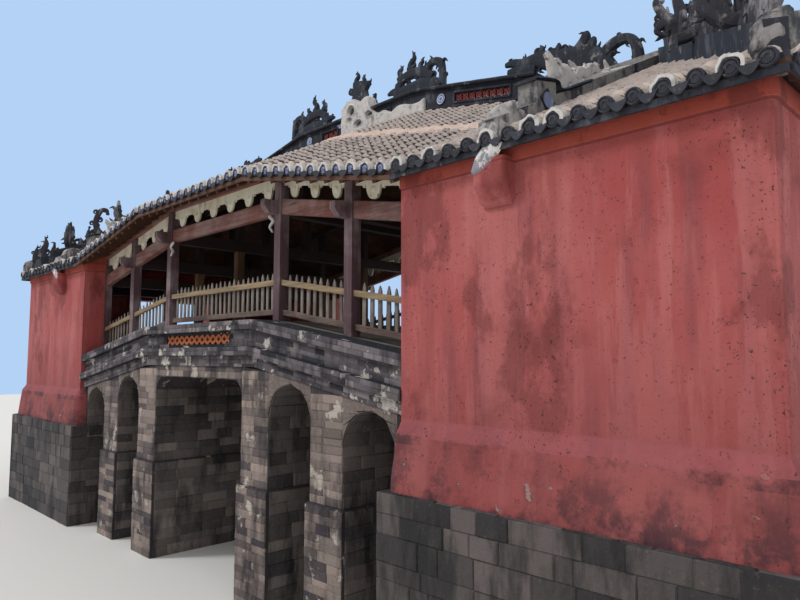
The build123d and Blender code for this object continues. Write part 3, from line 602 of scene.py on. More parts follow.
class Piece:
    """Quads gathered from batches of equal grids, then placed in the scene as one mesh."""

    def __init__(self, name: str, slot: str, finish: Finish, sharp: float = 40.0) -> None:
        """Start an empty piece with its slot, its finish and the angle from which its edges stay sharp."""
        self.name, self.slot, self.finish, self.sharp = name, slot, finish, sharp
        self.points: list[Array] = []
        self.quads: list[Array] = []
        self.shades: dict[str, list[Array]] = {"tone": [], "lime": []}
        self.count = 0

    def add(self, grids: Array, tone: object = 0.5, facing: Optional[Point] = None,
            lime: object = 0.0) -> None:
        """Add grids of points, each joined into a surface.

        A grid's quads join neighbours in its rows and columns. With no facing, each grid is taken as closed,
        and it is turned so that the volume inside it is positive.

        Args:
            grids: Points as (..., rows, columns, 3).
            tone: A shade from 0 to 1 for all grids, for each grid, or for each quad of each grid.
            facing: The way an open sheet looks.
            lime: How far each grid is whitened with lime.
        """
        rows, columns = grids.shape[-3:-1]
        flat = np.asarray(grids, float).reshape(-1, rows * columns, 3)
        total = len(flat)
        corner = np.arange(rows * columns).reshape(rows, columns)
        cell = np.stack([corner[:-1, :-1], corner[:-1, 1:], corner[1:, 1:], corner[1:, :-1]], -1)
        cell = cell.reshape(-1, 4)
        a, b, c, d = (flat[:, cell[:, i]] for i in range(4))
        normal = np.cross(c - a, d - b)
        if facing is None:
            outward = (a + b + c + d) / 4 - flat.mean(axis=1, keepdims=True)
            turned = np.einsum("nqi,nqi->n", normal, outward) < 0
        else:
            turned = np.einsum("nqi,i->n", normal, np.asarray(facing, float)) < 0
        quads = np.where(turned[:, None, None], cell[None, :, ::-1], cell[None])
        starts = self.count + np.arange(total) * rows * columns
        self.points.append(flat.reshape(-1, 3))
        self.quads.append((quads + starts[:, None, None]).reshape(-1, 4))
        for label, value in (("tone", tone), ("lime", lime)):
            values = np.asarray(value, float)
            values = values if values.ndim == 2 else np.broadcast_to(values, (total,))[:, None]
            self.shades[label].append(np.broadcast_to(values, (total, len(cell))).ravel())
        self.count += total * rows * columns

    def place(self, weld: bool = False) -> bpy.types.Object:
        """Make the mesh, with its shades as attributes of its faces, and put it into the scene."""
        mesh = bpy.data.meshes.new(self.name)
        mesh.from_pydata(np.concatenate(self.points), [], np.concatenate(self.quads))
        for label, store in self.shades.items():
            layer = mesh.attributes.new(label, "FLOAT", "FACE")
            layer.data.foreach_set("value", np.concatenate(store).astype(np.float32))
        if weld:
            worked(mesh)
        mesh.validate()
        mesh.polygons.foreach_set("use_smooth", np.ones(len(mesh.polygons), bool))
        mesh.set_sharp_from_angle(angle=math.radians(self.sharp))
        return settle(self.name, mesh, self.finish)


def grid(x: Array, y: Array, z: Array) -> Array:
    """Points from coordinates, each of which may be one value for a whole row or for all."""
    return np.stack(np.broadcast_arrays(x, y, z), -1)


def unit(ways: Array) -> Array:
    """Directions brought to a length of one."""
    ways = np.asarray(ways, float)
    return ways / np.linalg.norm(ways, axis=-1, keepdims=True)


def spread(low: float, high: float, pitch: float) -> Array:
    """Middles of the equal shares of a length, as many as come closest to a pitch."""
    count = max(1, round((high - low) / pitch))
    return low + (np.arange(count) + 0.5) * (high - low) / count


def capped(line: Array) -> tuple[Array, Array]:
    """Double both ends of a line, and say how far a section opens along it: shut at the ends, else full."""
    line = np.concatenate([line[:1], line, line[-1:]])
    size = np.ones(len(line))
    size[[0, -1]] = 0
    return line, size


def squared(angle: Array, power: float) -> tuple[Array, Array]:
    """A circle's cosine and sine raised to a power: below one the circle fills out towards a square."""
    ring = np.stack([np.cos(angle), np.sin(angle)])
    across, up = np.sign(ring) * np.abs(ring) ** power
    return across, up


def bars(starts: Array, ends: Array, half_wide: float, half_deep: float, up: Array) -> Array:
    """Square bars as closed grids: four corners carried from start to end, with both ends drawn to a point.

    Args:
        starts: First ends of the middle lines, (N, 3).
        ends: Second ends, (N, 3).
        half_wide: Half the width, across the up direction.
        half_deep: Half the depth, along the up direction.
        up: The way that the depth is measured.

    Returns:
        Grids as (N, 4, 5, 3).
    """
    starts, ends = np.atleast_2d(starts).astype(float), np.atleast_2d(ends).astype(float)
    along = unit(ends - starts)
    side = unit(np.cross(along, np.broadcast_to(np.asarray(up, float), along.shape)))
    rise = np.cross(side, along)
    turns = np.array([(-1, -1), (1, -1), (1, 1), (-1, 1), (-1, -1)], float)
    ring = turns[None, :, :1] * side[:, None] * half_wide + turns[None, :, 1:] * rise[:, None] * half_deep
    first, last = starts[:, None] + ring, ends[:, None] + ring
    return np.stack([np.broadcast_to(starts[:, None], first.shape), first, last,
                     np.broadcast_to(ends[:, None], last.shape)], axis=1)


def wheel(middles: Array, facing: Point, profile: Pairs, sides: int = 16, size: float = 1.0) -> Array:
    """Round bosses: a profile of radius and stand-out turned about an axis, as grids of rings.

    Args:
        middles: Centres, (N, 3).
        facing: The axis that they look along.
        profile: Pairs of a radius and a stand-out.
        sides: Points round each ring.
        size: What the radii are shares of, if they are shares.

    Returns:
        Grids as (N, rings, sides + 1, 3).
    """
    facing = unit(facing)
    rise = unit(UP - facing * facing[2])
    turn = np.linspace(0, FULL_TURN, sides + 1)[:, None]
    ring = np.cos(turn) * np.cross(rise, facing) + np.sin(turn) * rise
    radius, out = np.array(profile).T
    shape = size * radius[:, None, None] * ring + out[:, None, None] * facing
    return np.atleast_2d(middles)[:, None, None] + shape


def domes(middles: Array, half: Point, sides: int = 10, rings: int = 6, power: float = 1.0) -> Array:
    """Lumps: spheres stretched along each axis, as grids from pole to pole. A low power squares them up.

    Args:
        middles: Centres, (N, 3).
        half: Half sizes along X, Y and Z.
        sides: Points round each ring.
        rings: Rings from pole to pole.
        power: What each coordinate of the sphere is raised to.

    Returns:
        Grids as (N, rings + 1, sides + 1, 3).
    """
    tilt = np.linspace(0, np.pi, rings + 1)[:, None]
    turn = np.linspace(0, FULL_TURN, sides + 1)[None]
    ball = grid(np.sin(tilt) * np.cos(turn), np.sin(tilt) * np.sin(turn), np.cos(tilt))
    ball = np.sign(ball) * np.abs(ball) ** power
    return np.asarray(middles, float)[:, None, None] + ball * half


def rough_stone(middle: Point, half: Point, seed: int) -> Array:
    """A squared-up lump with broad dents and a fine roughness, all in metres."""
    lump = domes([middle], half, 40, 28, 0.6)
    return lump + (ripple(lump, 0.16, seed) * 0.014 + ripple(lump, 0.05, seed + 1, 16) * 0.008)[..., None]


def worn_copy(node: str, name: str, finish: Finish, work_on: Work) -> None:
    """Replace a CAD node by a merged copy that is worked on.

    Args:
        node: The node's name.
        name: The copy's name.
        finish: The finish of the copy.
        work_on: What is done to the merged copy.
    """
    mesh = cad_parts[node].data.copy()
    worked(mesh, work_on)
    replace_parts(settle(name, mesh, finish), node)


def ease_timbers(node: str, finish: Finish, width: float = 0.012) -> None:
    """Wear off the arrises of a node of sawn timbers: each sharp edge is cut back by a width in metres."""
    def ease(work: bmesh.types.BMesh) -> None:
        """Join flat facets, then cut the sharp edges back."""
        bmesh.ops.dissolve_limit(work, angle_limit=math.radians(1.0), verts=work.verts, edges=work.edges)
        edges = [edge for edge in work.edges if len(edge.link_faces) == 2 and edge.calc_face_angle(0.0) > 0.4]
        bmesh.ops.bevel(work, geom=edges, offset=width, segments=1, profile=0.5, affect="EDGES",
                        clamp_overlap=True)
    worn_copy(node, f"worn_{node}", finish, ease)


def cut_back(node: str, finish: Finish, depth: float) -> None:
    """Make room for a node's facing blocks: corners at the CAD box are moved in by a depth in metres."""
    def shrink(work: bmesh.types.BMesh) -> None:
        """Move the corners in."""
        for corner in work.verts:
            for axis in (0, 1):
                limit = CAD_BOX[1][axis] - depth
                corner.co[axis] = min(max(corner.co[axis], -limit), limit)
    worn_copy(node, f"{node}_core", finish, shrink)


@dataclass
class TiledRoof:
    """Clay tiles in rows down every slope: humped cover tiles over dished channel tiles, in short courses."""

    exposure: float = 0.115
    set_back: float = 0.045
    overhang: float = 0.02
    cover_width: float = 0.15
    cover_height: float = 0.062
    channel_depth: float = 0.028
    lip: float = 0.031
    bed: float = 0.004
    reach: float = 8.928
    limed_courses: int = 2
    uneven: Point = (0.004, 0.006, 0.0025)
    ridge_gap: float = 0.03
    channel_cover: float = 0.7
    swelling: tuple[float, ...] = (0.86, 0.92, 1.02, 0.8)
    # Painted light on the tiles: shadow at each tile's head, highlight at its lip, shade on cover flanks and
    # channels.
    painted_shadow_and_highlight: Point = (-1.0, -0.42, 0.75)
    painted_flank_shade: float = 0.62
    painted_channel_shade: float = 0.8
    random: np.random.Generator = field(default_factory=lambda: np.random.default_rng(SEED))

    def rows_on_sides(self, low: float, high: float, sign: int) -> tuple[Array, Array]:
        """Heads and feet of the rows on one long slope between two places along the bridge.

        Past the end of the ridge a row starts on the hip, which runs evenly out to the corner of the eaves.
        """
        x = spread(low, high, LINES.tile_pitch)
        past = np.clip((np.abs(x) - LINES.ridge_end) / (LINES.eave_x - LINES.ridge_end), 0, 1)
        head = np.maximum(LINES.half_ridge + self.ridge_gap, past * LINES.eave_y)
        foot = LINES.eave_y + self.overhang
        return grid(x, sign * head, roof_level(x, head)), grid(x, sign * foot, roof_level(x, foot))

    def rows_on_end(self, sign: int) -> tuple[Array, Array]:
        """Heads and feet of the rows on a hipped end, which runs from the hips down to the end eave."""
        y = spread(-LINES.eave_y, LINES.eave_y, LINES.tile_pitch)
        run = LINES.eave_x - LINES.ridge_end
        rise = LINES.pitch * LINES.eave_y / run
        head = LINES.ridge_end + np.abs(y) / LINES.eave_y * run
        heads, feet = (grid(sign * x, y, LINES.pavilion_eave + (LINES.eave_x - x) * rise)
                       for x in (head, LINES.eave_x))
        return heads, feet

    def lay(self, piece: Piece, heads: Array, feet: Array) -> None:
        """Lay cover and channel tiles along rows.

        Each tile is a small grid: an arc or a dish across, carried down one course while it rises by its lip,
        then turned in at its lower end. Its tone holds painted light: a painted shadow under the tile above
        it, a painted highlight at its lip, and painted shade down the flanks of cover tiles and over the
        channels.

        Args:
            piece: The piece that the tiles go to.
            heads: Upper ends of the rows.
            feet: Lower ends of the rows.
        """
        feet = feet + (heads - feet) * (self.set_back / np.linalg.norm(feet - heads, axis=1))[:, None]
        length = np.linalg.norm(feet - heads, axis=1)
        courses = np.maximum(1, np.round(length / self.exposure).astype(int))
        row = np.repeat(np.arange(len(heads)), courses)
        course = np.arange(courses.sum()) - np.repeat(np.cumsum(courses) - courses, courses)
        share = courses[row]
        down = (feet - heads) / length[:, None]
        across = heads[-1] - heads[0]
        across = unit(across - down[0] * (across @ down[0]))
        normal = np.cross(down[0], across)
        normal *= np.sign(normal[2])
        limed = np.where(share - 1 - course < self.limed_courses, 0.9, 0.0)
        stations = np.array([0.0, 0.35, 1.0, 1.0])
        lift = np.array([0.0, 0.4, 1.0, 0.0])[:, None] * self.lip
        for cover in (True, False):
            jitter = self.random.normal(size=(len(row), 3)) * self.uneven
            tone = self.random.beta(2.2, 2.2, len(row))
            turn = np.linspace(-1, 1, 7 if cover else 5)
            # Painted shade across each tile: darker down a cover tile's flanks; a channel tile dark, lighter
            # where it rises.
            flank_shade = self.painted_flank_shade * (turn[:-1] + turn[1:]) ** 2 / 4
            if cover:
                wide = np.sin(turn * np.pi / 2) * self.cover_width / 2
                high = np.cos(turn * np.pi / 2) * self.cover_height
                swell, offset, shade_across = np.array(self.swelling)[:, None], 0.0, -flank_shade
            else:
                wide = turn * (LINES.tile_pitch - self.cover_width * self.channel_cover) / 2
                high = turn ** 2 * self.channel_depth
                swell, offset, shade_across = np.ones((4, 1)), LINES.tile_pitch / 2, flank_shade - self.painted_channel_shade
            # Painted shadow at each tile's head under the tile above, painted highlight at its lip.
            shades = np.add.outer(self.painted_shadow_and_highlight, shade_across).ravel()
            along = (course[:, None] + stations) / share[:, None] * length[row][:, None] + jitter[:, 1:2]
            middle = heads[row][:, None] + down[row][:, None] * along[..., None]
            side = wide * swell + jitter[:, 0, None, None] + offset
            rise = high * swell + lift + jitter[:, 2, None, None] + self.bed
            grids = middle[:, :, None] + side[..., None] * across + rise[..., None] * normal
            grids[..., 0] = np.clip(grids[..., 0], -self.reach, self.reach)
            piece.add(grids, np.clip(tone[:, None] + shades, 0, 1), normal, limed if cover else limed * 0.8)

    def build(self) -> None:
        """Tile every slope."""
        for name, low, high in (("centre", -LINES.flat_half, LINES.flat_half),
                                ("east", LINES.flat_half, LINES.span_half),
                                ("west", -LINES.span_half, -LINES.flat_half),
                                ("pavilion_east", LINES.span_half, LINES.eave_x),
                                ("pavilion_west", -LINES.eave_x, -LINES.span_half)):
            piece = Piece(f"tiles_{name}", "roof_tile", TILE, 35)
            for sign in SIDES:
                self.lay(piece, *self.rows_on_sides(low, high, sign))
            if "pavilion" in name:
                self.lay(piece, *self.rows_on_end(1 if low > 0 else -1))
            piece.place()


@dataclass
class EaveEnds:
    """What closes the tiles along the eaves: round roll ends in lime, drip tiles, and a board under them."""

    roof: TiledRoof
    disc_radius: float = 0.066
    dark_growth: float = 1.12
    rim: Pairs = ((0.0, -0.12), (1.0, -0.12), (1.0, 0.0), (0.92, 0.012), (0.78, 0.012), (0.72, 0.0),
                  (0.0, 0.0))
    boss: Pairs = ((0.0, -0.006), (0.7, -0.006), (0.66, 0.006), (0.3, 0.012), (0.22, 0.004), (0.0, 0.004))
    disc_rise: float = 0.028
    stand: float = 0.022
    lime_ring: tuple[float, float] = (1.04, 1.42)
    lime_left: float = 0.55
    drip_drop: float = 0.075
    board_drop: float = 0.055
    bed_drop: float = 0.06
    board_thickness: float = 0.03
    rafter_pitch: float = 0.3
    rafter_half: float = 0.03
    made: dict[str, Piece] = field(default_factory=dict)

    def ends(self, feet: Array, outward: Point, dark: bool) -> None:
        """Close the rows of tiles along an eave.

        A roll end is a rimmed disc with a boss in it. The lime round it is a half ring.

        Args:
            feet: Lower ends of the rows.
            outward: The way the eave looks.
            dark: Whether the discs are black, as on the pavilions, and not blue.
        """
        outward = np.asarray(outward, float)
        across = unit(feet[-1] - feet[0])
        random = np.random.default_rng(len(feet) + int(abs(feet[0, 0]) * 10))
        radius = self.disc_radius * (self.dark_growth if dark else 1.0)
        middle = feet + self.disc_rise * UP + outward * self.stand
        middle = middle + np.clip(random.normal(size=middle.shape), -1.5, 1.5) * 0.003
        rims, faces = self.made["roll_ends"], self.made["roll_end_faces_dark" if dark else "roll_end_faces"]
        rims.add(wheel(middle, outward, self.rim, size=radius), random.uniform(0.2, 0.8, len(middle)))
        faces.add(wheel(middle, outward, self.boss, size=radius), random.uniform(0.1, 0.5, len(middle)))
        turn = np.linspace(-0.2, np.pi + 0.2, 13)[:, None, None]
        inner, outer = (radius * share for share in self.lime_ring)
        profile = np.array([(inner, -0.05), (inner, 0.016), (outer, 0.01), (outer * 1.05, -0.05)])
        arch = profile[:, :1] * (np.cos(turn) * across + np.sin(turn) * UP) + profile[:, 1:] * outward
        rough = 1 + 0.1 * ripple(arch + middle[:, None, None], 0.08, 3)[..., None]
        kept = random.random(len(middle)) < (self.lime_left if dark else 1.0)
        self.made["roll_end_lime"].add((middle[:, None, None] + arch * rough)[kept], 0.5, outward + 0.6 * UP)
        reach = (np.linalg.norm(feet[1] - feet[0]) - radius) / 2
        self.drips((feet[:-1] + feet[1:]) / 2, across, outward, reach, random)

    def drips(self, middles: Array, across: Array, outward: Array, reach: float,
              random: np.random.Generator) -> None:
        """Drip tiles between the roll ends: each a dish whose lip hangs down in the middle, as a crescent."""
        span = np.linspace(-1, 1, 9)
        dish = span ** 2 * 0.02
        hang = self.drip_drop * (1 - span ** 2)
        lines = [(-0.06, dish + 0.012), (0.02, dish + 0.012), (0.03, dish - hang * 0.5), (0.034, dish - hang),
                 (0.02, dish - hang), (-0.06, dish)]
        sheet = np.stack([span[:, None] * reach * across + out * outward + np.outer(rise, UP)
                          for out, rise in lines])
        low = middles + 0.004 * UP + outward * 0.01
        self.made["drip_tiles"].add(low[:, None, None] + sheet, random.uniform(0.0, 1.0, len(low)),
                                    outward + 0.5 * UP)

    def board(self, edge: list[Array], outward: Point, dark: bool) -> None:
        """A board along an eave under the drip tiles, or on the pavilions a bed of mortar."""
        depth = self.bed_drop if dark else self.board_drop
        middle = (np.asarray(outward, float) * (self.board_thickness / 2 - 0.004)
                  - (LINES.slope_thickness + 0.012 - depth / 2) * UP)
        piece = self.made["pavilion_eave_bed" if dark else "fascia_boards"]
        piece.add(bars(edge[0] + middle, edge[1] + middle, self.board_thickness / 2, depth / 2, UP))

    def rafters(self) -> None:
        """Rafter ends under the open eaves, from the wall plate out to the board."""
        x = np.arange(-LINES.span_half + 0.15, LINES.span_half, self.rafter_pitch)
        for sign in SIDES:
            ends = [grid(x, sign * y, roof_level(x, y) - LINES.slope_thickness - self.rafter_half)
                    for y in (LINES.half_width - 0.05, LINES.eave_y - 0.04)]
            self.made["fascia_boards"].add(bars(*ends, self.rafter_half, self.rafter_half, UP), 0.3)

    def build(self) -> None:
        """Close all the eaves."""
        for name, slot, finish in (("roll_ends", "roof_tile", BLACK_TILE),
                                   ("roll_end_faces", "roof_tile", BLUE_DISC),
                                   ("roll_end_faces_dark", "roof_tile", BLACK_TILE),
                                   ("drip_tiles", "roof_tile", BLACK_TILE),
                                   ("roll_end_lime", "lime_mortar", PALE_MORTAR),
                                   ("fascia_boards", "timber", BOARD_WOOD),
                                   ("pavilion_eave_bed", "lime_mortar", DARK_MORTAR)):
            self.made[name] = Piece(name, slot, finish)
        stations = (-LINES.eave_x, *LINES.stations, LINES.eave_x)
        for low, high in zip(stations, stations[1:]):
            dark = max(abs(low), abs(high)) > LINES.span_half + 0.01
            for sign in SIDES:
                self.ends(self.roof.rows_on_sides(low, high, sign)[1], (0, sign, 0), dark)
                edge = [np.array([x, sign * LINES.eave_y, roof_level(x, LINES.eave_y)]) for x in (low, high)]
                self.board(edge, (0, sign, 0), dark)
        for sign in SIDES:
            self.ends(self.roof.rows_on_end(sign)[1], (sign, 0, 0), True)
            edge = [np.array([sign * LINES.eave_x, side * LINES.eave_y, LINES.pavilion_eave])
                    for side in SIDES]
            self.board(edge, (sign, 0, 0), True)
        self.rafters()
        for piece in self.made.values():
            piece.place()


@dataclass
class StoneFacing:
    """Blocks laid in courses over the masonry: each block is a pillow whose rim lies back in the joint."""

    course: float
    block: float
    joint: float = 0.007
    relief: float = 0.014
    bed: float = 0.003
    uneven_beds: float = 0.16
    uneven_ends: float = 0.33
    seed: int = SEED

    def blocks(self, origin: Point, along: Point, up: Point, facing: Point, length: float, height: float,
               keep: Optional[Callable[[Array], Array]] = None) -> tuple[Array, Array]:
        """Blocks over a rectangle.

        Courses get uneven heights and blocks uneven widths. A block is a grid of four by four points: the
        outer ring lies in the joint, and the inner four stand out by the relief, each by its own amount.

        Args:
            origin: The rectangle's lower corner.
            along: The way the courses run.
            up: The way they rise.
            facing: The way out of the wall.
            length: The rectangle's length.
            height: The rectangle's height.
            keep: Says which places along it get a block.

        Returns:
            Grids as (N, 4, 4, 3), and a shade for each block.
        """
        random = np.random.default_rng(self.seed)
        self.seed += 1
        count = max(1, round(height / self.course))
        levels = np.linspace(0, height, count + 1)
        levels[1:-1] += random.uniform(-self.uneven_beds, self.uneven_beds, count - 1) * height / count
        cells = []
        for low, high in zip(levels, levels[1:]):
            blocks = max(1, round(length / self.block * random.uniform(0.8, 1.2)))
            edges = np.linspace(0, length, blocks + 1)
            if blocks > 1:
                shift = random.uniform(-self.uneven_ends, self.uneven_ends, blocks - 1)
                edges[1:-1] += shift * length / blocks
            cells.append(np.stack([edges[:-1], edges[1:], np.full(blocks, low), np.full(blocks, high)], -1))
        cell = np.concatenate(cells)
        if keep is not None:
            cell = cell[keep(cell[:, :2].mean(1))]
        left, right, low, high = cell.T
        total = len(cell)
        wide, deep = self.joint * 2, self.joint * 1.6
        across = np.stack([left, left + wide, right - wide, right], -1)
        upward = np.stack([low, low + deep, high - deep, high], -1)
        inner = np.zeros((4, 4))
        inner[1:3, 1:3] = 1
        stand = random.uniform(0.45, 1.0, total)[:, None, None] + random.uniform(-0.2, 0.2, (total, 4, 4))
        out = self.bed + inner * stand * self.relief
        along, up, facing, origin = (np.asarray(way, float) for way in (along, up, facing, origin))
        places = (across[:, None, :, None] * along + upward[:, :, None, None] * up + out[..., None] * facing
                  + origin)
        return places, random.beta(2, 2.4, total)

    def lay(self, piece: Piece, origin: Point, along: Point, up: Point, facing: Point, length: float,
            height: float, keep: Optional[Callable[[Array], Array]] = None, shade: float = 0.0) -> None:
        """Lay blocks over a rectangle, made lighter or darker by a shade. The rest is as for blocks."""
        places, tone = self.blocks(origin, along, up, facing, length, height, keep)
        piece.add(places, np.clip(tone + shade, 0, 1), facing)

    def front(self, piece: Piece, corner: Point, length: float, height: float, slope: float = 0.0,
              **more: object) -> None:
        """Lay a wall that looks across the bridge, out to the side that its lower corner is on."""
        self.lay(piece, corner, (1, 0, slope), UP, (0, np.sign(corner[1]), 0), length, height, **more)

    def flank(self, piece: Piece, x: float, z: float, way: int, ends: tuple[float, float],
              height: float) -> None:
        """Lay a wall that looks along the bridge, one way or the other, between two places across it."""
        self.lay(piece, (x, ends[0], z), (0, 1, 0), UP, (way, 0, 0), ends[1] - ends[0], height)


def cut_to_arch(blocks: Array, centre: float, spring: float, radius: float) -> Array:
    """Fit facing blocks round an arch: corners inside the opening move straight out to its curve.

    Args:
        blocks: Blocks as (N, 4, 4, 3).
        centre: Middle of the arch along the bridge.
        spring: Level at which its curve starts.
        radius: Its radius.

    Returns:
        The blocks whose middles are clear of the opening and above its springing.
    """
    away, rise = blocks[..., 0] - centre, blocks[..., 2] - spring
    distance = np.hypot(away, np.maximum(rise, 1e-4))
    push = np.where((distance < radius) & (rise > 0), radius / np.maximum(distance, 1e-4), 1.0)
    moved = grid(centre + away * push, blocks[..., 1], spring + rise * push)
    middle = moved.mean(axis=(1, 2))
    clear = np.hypot(middle[:, 0] - centre, middle[:, 2] - spring) > radius * 0.96
    return moved[clear & (middle[:, 2] > spring)]


@dataclass
class Masonry:
    """The stone below the deck: piers on stepped bases, arches between them, abutments and edge courses."""

    pier_middles: tuple[float, float] = (1.79, 3.44)
    pier_widths: tuple[float, float] = (0.7, 0.65)
    base_top: float = 1.65
    base_step: float = 0.045
    crown_gap: float = 0.075
    mouth_head: float = 3.17
    mouth_curve: float = 0.25
    bands: Pairs = ((0.44, 0.14), (0.34, 0.25), (0.46, 0.13), (0.36, 0.17))
    lattice_half: float = 1.05
    lattice_frame: float = 0.08
    footing_step: float = 0.23
    sunk: float = 0.03

    def arches(self) -> list[tuple[float, float, float]]:
        """The openings beside the middle one, outwards: middle, radius and the level where it springs."""
        (first, second), (wide, slim) = self.pier_middles, self.pier_widths
        inner, outer = (first + wide / 2, second - slim / 2), (second + slim / 2, LINES.abutment_face)
        found = []
        for low, high in (inner, outer):
            centre, radius = (low + high) / 2, (high - low) / 2
            crown = LINES.deck_under - float(drop(centre, LINES.deck_fall)) - self.crown_gap
            found.append((centre, radius, crown - radius))
        return found

    def fronts(self) -> None:
        """Blocks on the outer faces of piers, arches and the middle span, and on the piers' ends."""
        piers = Piece("pier_face_stones", "stonework", PIER_STONE, 30)
        facing = StoneFacing(course=0.108, block=0.33)
        small = StoneFacing(course=0.075, block=0.24, relief=0.009, seed=SEED + 400)
        reach = LINES.masonry_face
        step = self.base_step
        mouth = self.pier_middles[0] - self.pier_widths[0] / 2
        below = 0.1
        for sign_y in SIDES:
            for sign_x in SIDES:
                for middle, width in zip(self.pier_middles, self.pier_widths):
                    low = sign_x * middle - width / 2
                    top = LINES.deck_under - float(drop(middle + width / 2, LINES.deck_fall))
                    facing.front(piers, (low, sign_y * reach, self.base_top), width, top - self.base_top)
                    facing.front(piers, (low - step, sign_y * (reach + step), 0), width + 2 * step,
                                 self.base_top - step / 2, shade=-0.1)
                fall = -sign_x * LINES.deck_fall
                for centre, radius, spring in self.arches():
                    start = (sign_x * centre - radius, sign_y * reach, spring - fall * radius - below)
                    blocks, _ = small.blocks(start, (1, 0, fall), UP, (0, sign_y, 0), 2 * radius,
                                             radius + self.crown_gap + below)
                    piers.add(cut_to_arch(blocks, sign_x * centre, spring, radius), 0.35, (0, sign_y, 0))
            small.front(piers, (-mouth, sign_y * reach, self.mouth_head), 2 * mouth,
                        LINES.deck_under - self.mouth_head, shade=-0.2)
        piers.place()

    def barrels(self) -> None:
        """Blocks on the sides of the openings and round the undersides of the arches."""
        piece = Piece("barrel_stones", "stonework", BARREL_STONE, 30)
        facing = StoneFacing(course=0.16, block=0.42, seed=SEED + 100)
        reach = LINES.masonry_face
        ends = (-reach, reach)
        mouth = self.pier_middles[0] - self.pier_widths[0] / 2
        walls = [(mouth, self.mouth_head - self.mouth_curve, -1)]
        for centre, radius, spring in self.arches():
            walls += [(centre - radius, spring, 1), (centre + radius, spring, -1)]
        for sign in SIDES:
            for x, top, way in walls:
                foot = 0.0
                if x < LINES.abutment_face - self.base_step:
                    facing.flank(piece, sign * (x + way * self.base_step), 0, sign * way, ends,
                                 self.base_top - self.base_step / 2)
                    foot = self.base_top
                facing.flank(piece, sign * x, foot, sign * way, ends, top - foot)
            for centre, radius, spring in self.arches():
                # The sheet is wrapped inside the arch: length up it becomes an angle round the middle
                sheet, _ = facing.blocks((0, -reach, 0), (0, 1, 0), UP, (1, 0, 0), 2 * reach, np.pi * radius)
                angle, inner = sheet[..., 2] / radius, radius - sheet[..., 0]
                piece.add(grid(sign * centre + inner * np.cos(angle), sheet[..., 1],
                               spring + inner * np.sin(angle)), 0.4, -UP)
        clear = mouth - 0.2
        facing.lay(piece, (-clear, -reach, self.mouth_head), (0, 1, 0), (1, 0, 0), -UP, 2 * reach, 2 * clear)
        piece.place()

    def edges(self) -> None:
        """Thin long bricks along the stepped bands under the railings, following the camber."""
        piece = Piece("edge_course_bricks", "stonework", EDGE_STONE, 30)
        facing = StoneFacing(course=0.062, block=0.34, joint=0.005, relief=0.01, seed=SEED + 200)
        panel = self.lattice_half + self.lattice_frame
        for sign in SIDES:
            level = LINES.deck_top
            for index, (reach, height) in enumerate(self.bands):
                level -= height
                for low, high in zip(LINES.stations, LINES.stations[1:]):
                    slope = -LINES.deck_fall * np.sign(round(low + high, 3))
                    start = level - float(drop(low, LINES.deck_fall))
                    panelled = index == 1 and slope == 0
                    beside_panel = (lambda along: np.abs(along + low) > panel) if panelled else None
                    facing.front(piece, (low, sign * (LINES.half_width + reach), start), high - low, height,
                                 slope, keep=beside_panel)
        piece.place()

    def footings(self) -> None:
        """Larger stones round the footing courses of both abutments, and the ledges on top of them."""
        piece = Piece("footing_stones", "stonework", FOOTING_STONE, 30)
        facing = StoneFacing(course=0.23, block=0.46, relief=0.02, seed=SEED + 300)
        inner, outer = LINES.abutment_face, LINES.pavilion_end + self.footing_step
        side = LINES.wall_face + self.footing_step
        face, top, length = side - self.sunk, LINES.footing_top, outer - inner
        for sign in SIDES:
            low = min(sign * inner, sign * outer)
            for sign_y in SIDES:
                facing.front(piece, (low, sign_y * face, 0), length, top)
                near, far = sorted((sign_y * (LINES.wall_face + 0.1), sign_y * face))
                facing.lay(piece, (low, near, top - 0.012), (1, 0, 0), (0, 1, 0), UP, length, far - near)
                ends = sorted((sign_y * LINES.half_width, sign_y * face))
                facing.flank(piece, sign * inner, 0, -sign, ends, top)
            facing.flank(piece, sign * (outer - self.sunk), 0, sign, (-side, side), top)
        piece.place()

    def build(self) -> None:
        """Face all the masonry."""
        self.fronts()
        self.barrels()
        self.edges()
        self.footings()
        Painter.dress(PIER_STONE, "piers_east", "piers_west", "centre_span")
        Painter.dress(BARREL_STONE, "arch_east_inner", "arch_east_outer", "arch_west_inner",
                      "arch_west_outer")
        for node in ("abutment_east", "abutment_west"):
            cut_back(node, FOOTING_STONE, self.sunk - 0.004)
        Painter.dress(EDGE_STONE, "edge_courses_front", "edge_courses_back")
        Painter.dress(TERRACOTTA, "edge_lattices")
        Painter.dress(PAVING, "deck_centre", "deck_east", "deck_west")


